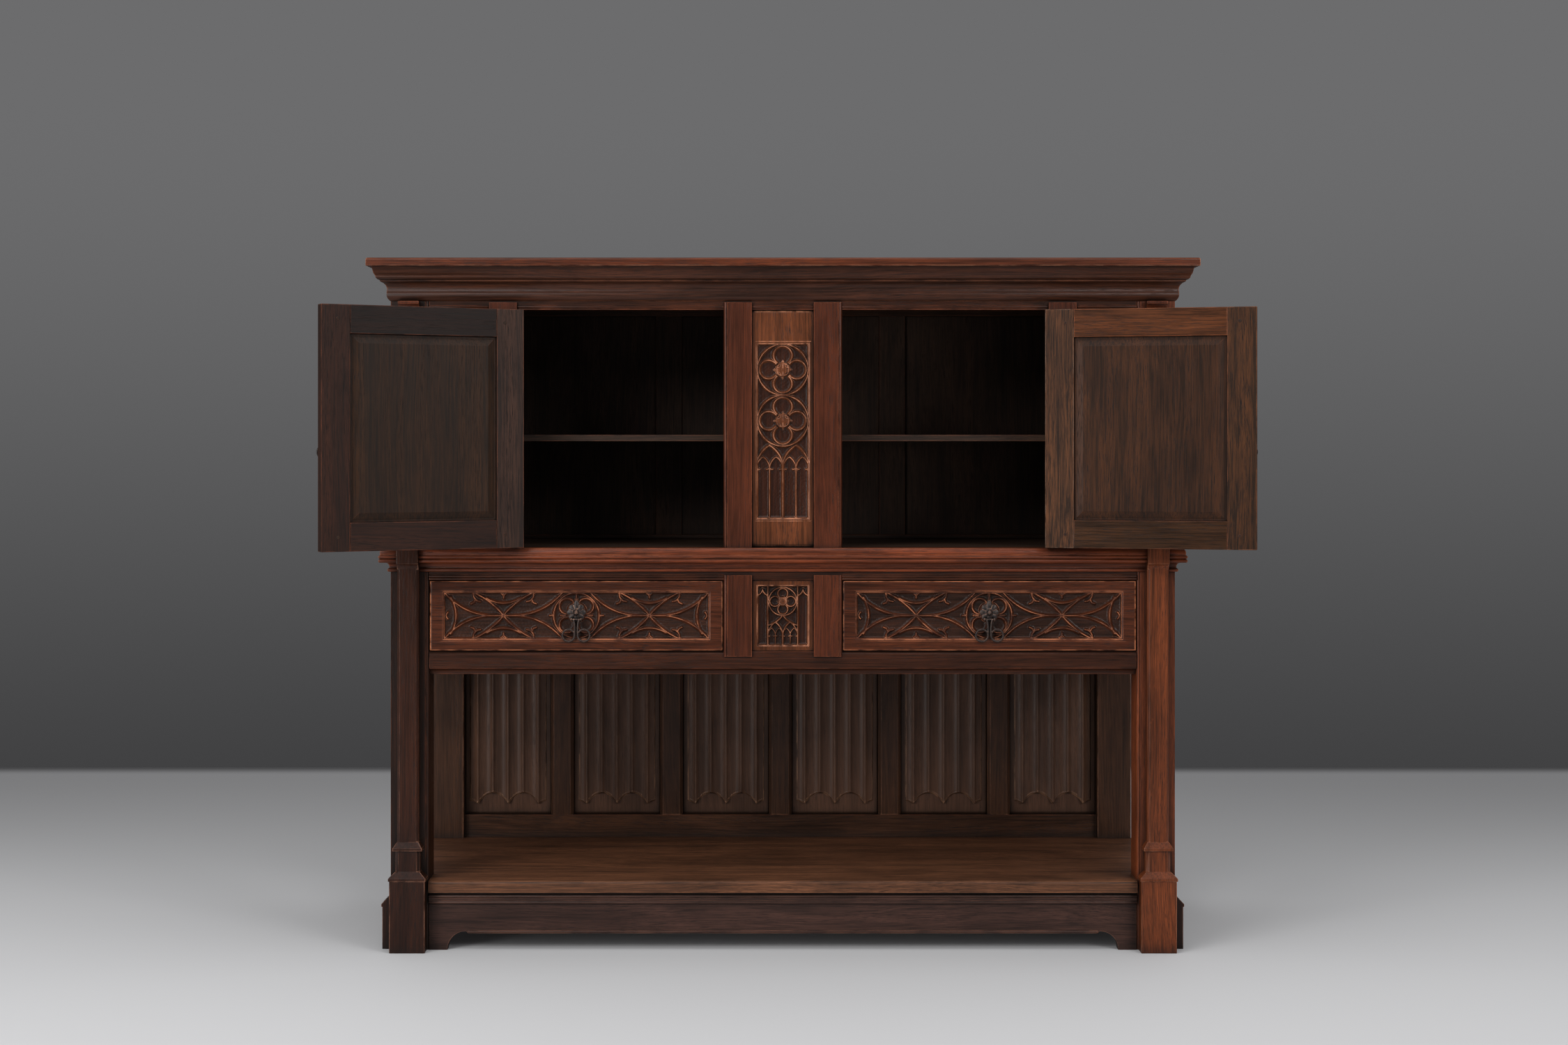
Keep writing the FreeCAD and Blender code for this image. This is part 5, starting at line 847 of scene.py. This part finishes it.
# %% [markdown]
# Linenfold carving copies a napkin in folds. Here five upright ridges stand between hollows,
# and the cloth's lower hem makes two pointed arches above the bare ground of the panel. The
# folds run straight down, so the grid is coarse along them and fine about the hem.

# %% The linenfold panels
LINEN_FRONT, LINEN_BACK = 236, 253
LINEN_GROUND = 9.0
PANEL_START = -658
PANEL_PITCH = 227.17
PANEL_WIDTH = 180.17
CLOTH_MIDDLE = 90.08
FOLD_PITCH = 31.53
FOLD_REACH = 78.8
HEM_POINTS = (
    (-FOLD_REACH, 204.75), (-2 * FOLD_PITCH, 199), (-FOLD_PITCH, 222), (0, 199),
    (FOLD_PITCH, 222), (2 * FOLD_PITCH, 199), (FOLD_REACH, 204.75),
)
HEM = np.concatenate([
    arc(start, end, bulge)
    for start, end, bulge in zip(HEM_POINTS, HEM_POINTS[1:], (0.12, 0.22, 0.22, 0.22, 0.22, 0.12))
])


def fold_depth(across):
    """The depth of the folded cloth: ridges at every pitch, with hollows between."""
    ridge = FOLD_PITCH * np.clip(np.round(across / FOLD_PITCH), -2, 2)
    away = np.abs(across - ridge)
    share = np.clip((away - 1.6) / (FOLD_PITCH / 2 - 1.6), 0, 1)
    return 6.2 * np.sin(share * pi / 2) ** 0.75 + np.clip(away - 0.8, 0, 0.8) * 0.5


for index in range(1, 7):
    low = PANEL_START + PANEL_PITCH * (index - 1)
    linen_x = spread_points(
        (low, low + 11, 3), (low + 11, low + 170, 1.0), (low + 170, low + PANEL_WIDTH, 3)
    )
    linen_z = spread_points((177, 192, 5), (192, 232, 1.0), (232, 530, 12))
    x, z = np.meshgrid(linen_x, linen_z)
    across = x - (low + CLOTH_MIDDLE)
    above = z - np.interp(across, HEM[:, 0], HEM[:, 1])
    cloth = fold_depth(across) + np.interp(above, (0, 0.8, 3.2, 4.0, 4.8), (1.4, 0, 0, 0.5, 0))
    depth = np.where((above > -0.4) & (np.abs(across) < FOLD_REACH), cloth, LINEN_GROUND)
    depth = np.minimum(depth, LINEN_GROUND)
    carved_board(f"linenfold_{index}", linen_x, linen_z, LINEN_FRONT, LINEN_BACK, depth, "root",
                 f"linenfold_panel_{index}", "linen_oak")

# %% [markdown]
# The handles and hinges are forged iron. Iron that is handled for centuries turns nearly black
# with a brown bloom, and the places that fingers touch shine with a coppery wear. The metal is
# brightest where it is rubbed, so a mask drives Metallic, colour and roughness together.

# %% Forged iron


def iron(name, offset=0.0):
    tree, shader = new_material(name)
    point = grain_point(tree, add(tree, "TexCoord")["Object"], UPRIGHT, offset)
    wear = use_group(tree, wear_group, {
        "Point": point, "Edge width": 0.0012, "Hollow width": 0.012,
    })
    scale_noise = stretched_noise(tree, point, 240.0, 240.0, 4.0, 0.62)
    bloom = steps(tree, scale_noise, 0.4, 0.68)
    tone = mix_colour(tree, bloom, colour(38, 34, 33), colour(66, 52, 46))
    # The hollows are darkened by ambient occlusion, as painted shade.
    tone = mix_colour(tree, wear["Hollow"], tone, colour(18, 15, 14))
    tone = mix_colour(tree, wear["Wear"], tone, colour(150, 112, 92))
    matt = maths(tree, "SUBTRACT", plus(tree, 0.36, times(tree, bloom, 0.2)),
                 times(tree, wear["Wear"], 0.1))
    bump = add(tree, "Bump", {"Strength": 0.5, "Distance": 0.0005, "Height": scale_noise})
    feed(tree, shader, {
        "Base Color": tone, "Roughness": matt, "Normal": bump[0],
        "Metallic": plus(tree, 0.55, times(tree, wear["Wear"], 0.4), clamp=True),
    })


iron("forged_iron")
iron("hinge_iron", 3.0)
for side in ("left", "right"):
    for part in ("frame", "door"):
        dress_node(f"{side}_{part}_hinges", "hinge_iron", 0.3)
print("iron mixed, hinges dressed")

# %% [markdown]
# Each handle has a leafy plate, a raised heart, two eyes, and a pin from which a pair of rings
# hangs. The rings are one iron wire each: it leaves the pin, sweeps down and curls round nearly
# to itself. A wire is a line with a round section, so its points are worked out first and
# small circles are then placed square to it. The wire tapers a little towards its curled end.
# A handle is drawn in millimetres about its plate's middle, looking towards the front.

# %% Handle shapes
WIRE_SIDES = 12
PLATE_TURNS = 96
PLATE_RINGS = 14
ROD_Y = -6.0
PIN_Z = -13.0


def wire(points, radii):
    """Corners and faces of a round wire along points that lie in one upright plane or a line."""
    points = [Vector(point) for point in points]
    corners = []
    for index, point in enumerate(points):
        run = points[min(index + 1, len(points) - 1)] - points[max(index - 1, 0)]
        run.normalize()
        beside = run.cross(ALONG_Y)
        beside = beside.normalized() if beside.length > 0.1 else ALONG_X
        other = run.cross(beside).normalized()
        for number in range(WIRE_SIDES):
            turn = 2 * pi * number / WIRE_SIDES
            outwards = beside * cos(turn) + other * sin(turn)
            corners.append(point + outwards * radii[index])
    faces = [list(range(WIRE_SIDES - 1, -1, -1))]
    for index in range(len(points) - 1):
        first, second = index * WIRE_SIDES, (index + 1) * WIRE_SIDES
        for number in range(WIRE_SIDES):
            after = (number + 1) % WIRE_SIDES
            faces.append([first + number, first + after, second + after, second + number])
    last = (len(points) - 1) * WIRE_SIDES
    faces.append(list(range(last, last + WIRE_SIDES)))
    return corners, faces


def joined(parts):
    corners, faces = [], []
    for part_corners, part_faces in parts:
        shift = len(corners)
        corners += [Vector(corner) for corner in part_corners]
        faces += [[index + shift for index in face] for face in part_faces]
    return corners, faces


def ring_wire(side):
    """The stem and ring at one side."""
    stem = []
    for share in np.linspace(0, 1, 14):
        across = (1 - share) ** 2 * 5.2 + 2 * share * (1 - share) * 1.6 + share ** 2 * 3.1
        stem.append((across, PIN_Z - 27 * share))
    ring = [(14.3 + 11.3 * cos(turn), -43 + 11.3 * sin(turn))
            for turn in np.radians(np.linspace(176, 510, 56))]
    path = [(x * side, ROD_Y, z) for x, z in stem + ring]
    return wire(path, [2.1 - 0.35 * index / len(path) for index in range(len(path))])


def rings_shape():
    pin = wire([(x, ROD_Y, PIN_Z) for x in (-10.9, -10.2, 10.2, 10.9)], [1.3, 1.8, 1.8, 1.3])
    return joined([pin, ring_wire(-1), ring_wire(1)])


def lobe(turn):
    """How full the leaf is at an angle, from 0 in a notch to 1 in the middle of a lobe."""
    return abs(cos(4 * (turn - pi / 2)))


def plate_reach(turn):
    """How far the leafy plate reaches at an angle: eight lobes and a taller leaf on top."""
    from_top = (turn - pi / 2 + pi) % (2 * pi) - pi
    return 14.2 + 4.0 * lobe(turn) ** 0.7 + 5.0 * exp(-(from_top / 0.24) ** 2)


def plate_shape():
    corners, faces = [(0.0, -8.6, 0.0)], []
    for ring_number in range(1, PLATE_RINGS + 1):
        share = ring_number / PLATE_RINGS
        for step_number in range(PLATE_TURNS):
            turn = 2 * pi * step_number / PLATE_TURNS
            reach = plate_reach(turn) * share
            vein = lobe(turn) * sin(share * pi)
            heart = 5.4 * exp(-((reach / 5.2) ** 4))
            height = 1.2 + 2.0 * (1 - share ** 3) + 0.9 * vein + heart
            corners.append((reach * cos(turn), -height, reach * sin(turn)))
    outline = 1 + (PLATE_RINGS - 1) * PLATE_TURNS
    behind = len(corners)
    corners += [(x, 0.0, z) for x, _, z in corners[outline:behind]]
    for step_number in range(PLATE_TURNS):
        after = (step_number + 1) % PLATE_TURNS
        faces.append([0, 1 + step_number, 1 + after])
        for first in range(1, behind, PLATE_TURNS):
            second = first + PLATE_TURNS
            faces.append([first + step_number, second + step_number, second + after, first + after])
    faces.append(list(range(behind, behind + PLATE_TURNS)))
    eyes = [wire([(x * side, ROD_Y, PIN_Z) for x in (7.4, 8.0, 10.0, 10.6)], [2.6, 3.2, 3.2, 2.6])
            for side in (-1, 1)]
    shanks = [wire([(9 * side, 0.0, PIN_Z + 0.001), (9 * side, ROD_Y, PIN_Z)], [2.2, 2.2])
              for side in (-1, 1)]
    return joined([(corners, faces), *eyes, *shanks])


print("a plate has", len(plate_shape()[0]), "points, a pair of rings", len(rings_shape()[0]))

# %% [markdown]
# A drawer's handle hangs straight in front of its board. A door's handle goes where the open door
# carries it: it is drawn on a shut door about the hinge pin, and turned with the door.

# %% Handles
DRAWER_HANDLE_Y = -221
DOOR_HANDLE_REACH = 356
DOOR_HANDLE_FACE = 5
DOOR_HANDLE_Z = 977
LEFT_PIN, RIGHT_PIN = (-495, -232), (495, -232)
HANDLES = (
    ("left_drawer", (0, 0, HANDLE_Z), (-DRAWER_MIDDLE_X, DRAWER_HANDLE_Y), 0.0),
    ("right_drawer", (0, 0, HANDLE_Z), (DRAWER_MIDDLE_X, DRAWER_HANDLE_Y), 0.0),
    ("left_door", (DOOR_HANDLE_REACH, DOOR_HANDLE_FACE, DOOR_HANDLE_Z), LEFT_PIN, LEFT_TURN),
    ("right_door", (-DOOR_HANDLE_REACH, DOOR_HANDLE_FACE, DOOR_HANDLE_Z), RIGHT_PIN, RIGHT_TURN),
)


def placed(shape, shift, pin, turn):
    """The shape's corners in metres, shifted, and then turned about an upright pin."""
    turned = []
    for corner in shape[0]:
        x, y, z = (value + move for value, move in zip(corner, shift))
        turned.append(((x * cos(turn) - y * sin(turn) + pin[0]) * MM,
                       (x * sin(turn) + y * cos(turn) + pin[1]) * MM, z * MM))
    return turned, shape[1]


for name, shift, pin, turn in HANDLES:
    for label, shape, body, node_name in (
        ("plate", plate_shape(), name, f"{name}_rosette"),
        ("rings", rings_shape(), f"{name}_drop", f"{name}_bail"),
    ):
        handle = placed(shape, shift, pin, turn)
        handle_piece = new_piece(f"{name}_{label}", *handle, body, "iron", "forged_iron", node_name)
        for polygon in handle_piece.data.polygons:
            polygon.use_smooth = len(polygon.vertices) <= 4
print("four handles placed")

# %% [markdown]
# A framed door is held by oak pegs, driven through stile and tenon. Their ends are cut off nearly
# flush, and in time the board shrinks back from them, so they stand a hair proud and look dark.
# They are drawn about the hinge pin, like the handles, and turned with the door.

# %% Pegs in the door frames
PEG_REACHES = (36, 352)
PEG_HEIGHTS = (781, 1173)
PEG_RISES = (-2.0, 0.2, 0.5)
PEG_RADII = (3.3, 3.3, 2.6)
INNER_FACE = 27
for name, shift, pin, turn in HANDLES[2:]:
    side = copysign(1, shift[0])
    pegs = joined([
        wire([(reach * side, INNER_FACE + rise, height) for rise in PEG_RISES], PEG_RADII)
        for reach in PEG_REACHES for height in PEG_HEIGHTS
    ])
    pegs = placed(pegs, (0, 0, 0), pin, turn)
    new_piece(f"{name}_pegs", *pegs, name, "oak_door_inner", "inner_oak")
print("eight pegs driven")

# %% [markdown]
# The floor is a plain pale sheet. Its colour is painted darker towards the back, as the light
# falls off there, and blends into the backdrop's grey at the far edge. It keeps the cupboard's
# shadow. The backdrop is the world itself: the camera and the reflections see a dark grey, while
# everything else is lit by a soft, paler grey.

# %% Floor and backdrop
FLOOR_HALF_WIDTH = 4.0
FLOOR_FRONT = -2.6
FLOOR_BACK = 2.1
AMBIENT = (0.6, 0.6, 0.61, 1.0)
floor_mesh = bpy.data.meshes.new("floor")
floor_mesh.from_pydata(
    [(side * FLOOR_HALF_WIDTH, y, 0) for side, y in (
        (-1, FLOOR_FRONT), (1, FLOOR_FRONT), (1, FLOOR_BACK), (-1, FLOOR_BACK),
    )], [], [(0, 1, 2, 3)],
)
floor = put("floor", floor_mesh)
tree, shader = new_material("floor_sheet")
back = place_and_axes(tree)[1]["Y"]
# Painted shade: the floor darkens from front to back, as the light falls off.
tone = mix_colour(tree, steps(tree, back, -1.0, 2.0), colour(186, 186, 187), colour(132, 132, 133))
tone = mix_colour(tree, steps(tree, back, 1.95, FLOOR_BACK), tone, colour(66, 66, 67))
feed(tree, shader, {"Base Color": tone, "Roughness": 0.85})
dress(floor, "floor_sheet")

world = bpy.data.worlds.new("backdrop")
scene.world = world
world.use_nodes = True
tree = world.node_tree
rays = add(tree, "LightPath")
seen = maths(tree, "MAXIMUM", rays["Is Camera Ray"],
             maths(tree, "MAXIMUM", rays["Is Glossy Ray"], rays["Is Transmission Ray"]))
up = place_and_axes(tree, "Generated")[1]["Z"]
grey = mix_colour(tree, steps(tree, up, -0.2, 0.16), colour(60, 60, 61), colour(108, 108, 109))
feed(tree, tree.nodes["Background"], {"Color": mix_colour(tree, seen, AMBIENT, grey)})
print("floor and backdrop ready")

# %% [markdown]
# Plain soft studio light: one large lamp in front and to the left, high up, a weaker one to the
# right, a low one far to the left that reaches under the drawers, and a broad one overhead that
# draws the light line on every upper arris. None of them stands where the upright faces would
# mirror it. Their power is set so that a colour renders about as it is written.

# %% Lamps


def lamp(name, place, target, width, height, power):
    light = bpy.data.lights.new(name, "AREA")
    light.shape = "RECTANGLE"
    light.size = width
    light.size_y = height
    light.energy = power
    light_object = put(name, light)
    light_object.location = place
    towards = Vector(target) - Vector(place)
    light_object.rotation_euler = towards.to_track_quat("-Z", "Y").to_euler()


lamp("front_left_lamp", (-2.6, -3.6, 3.0), (0, 0, 0.8), 2.0, 2.0, 86)
lamp("front_right_lamp", (3.0, -3.6, 2.6), (0, 0, 0.6), 1.6, 1.6, 75)
lamp("low_left_lamp", (-3.4, -3.1, 0.85), (0, 0.2, 0.4), 1.2, 1.0, 50)
lamp("overhead_lamp", (0.0, -0.9, 3.6), (0, -0.1, 0.6), 3.0, 2.0, 50)
print("four lamps lit")
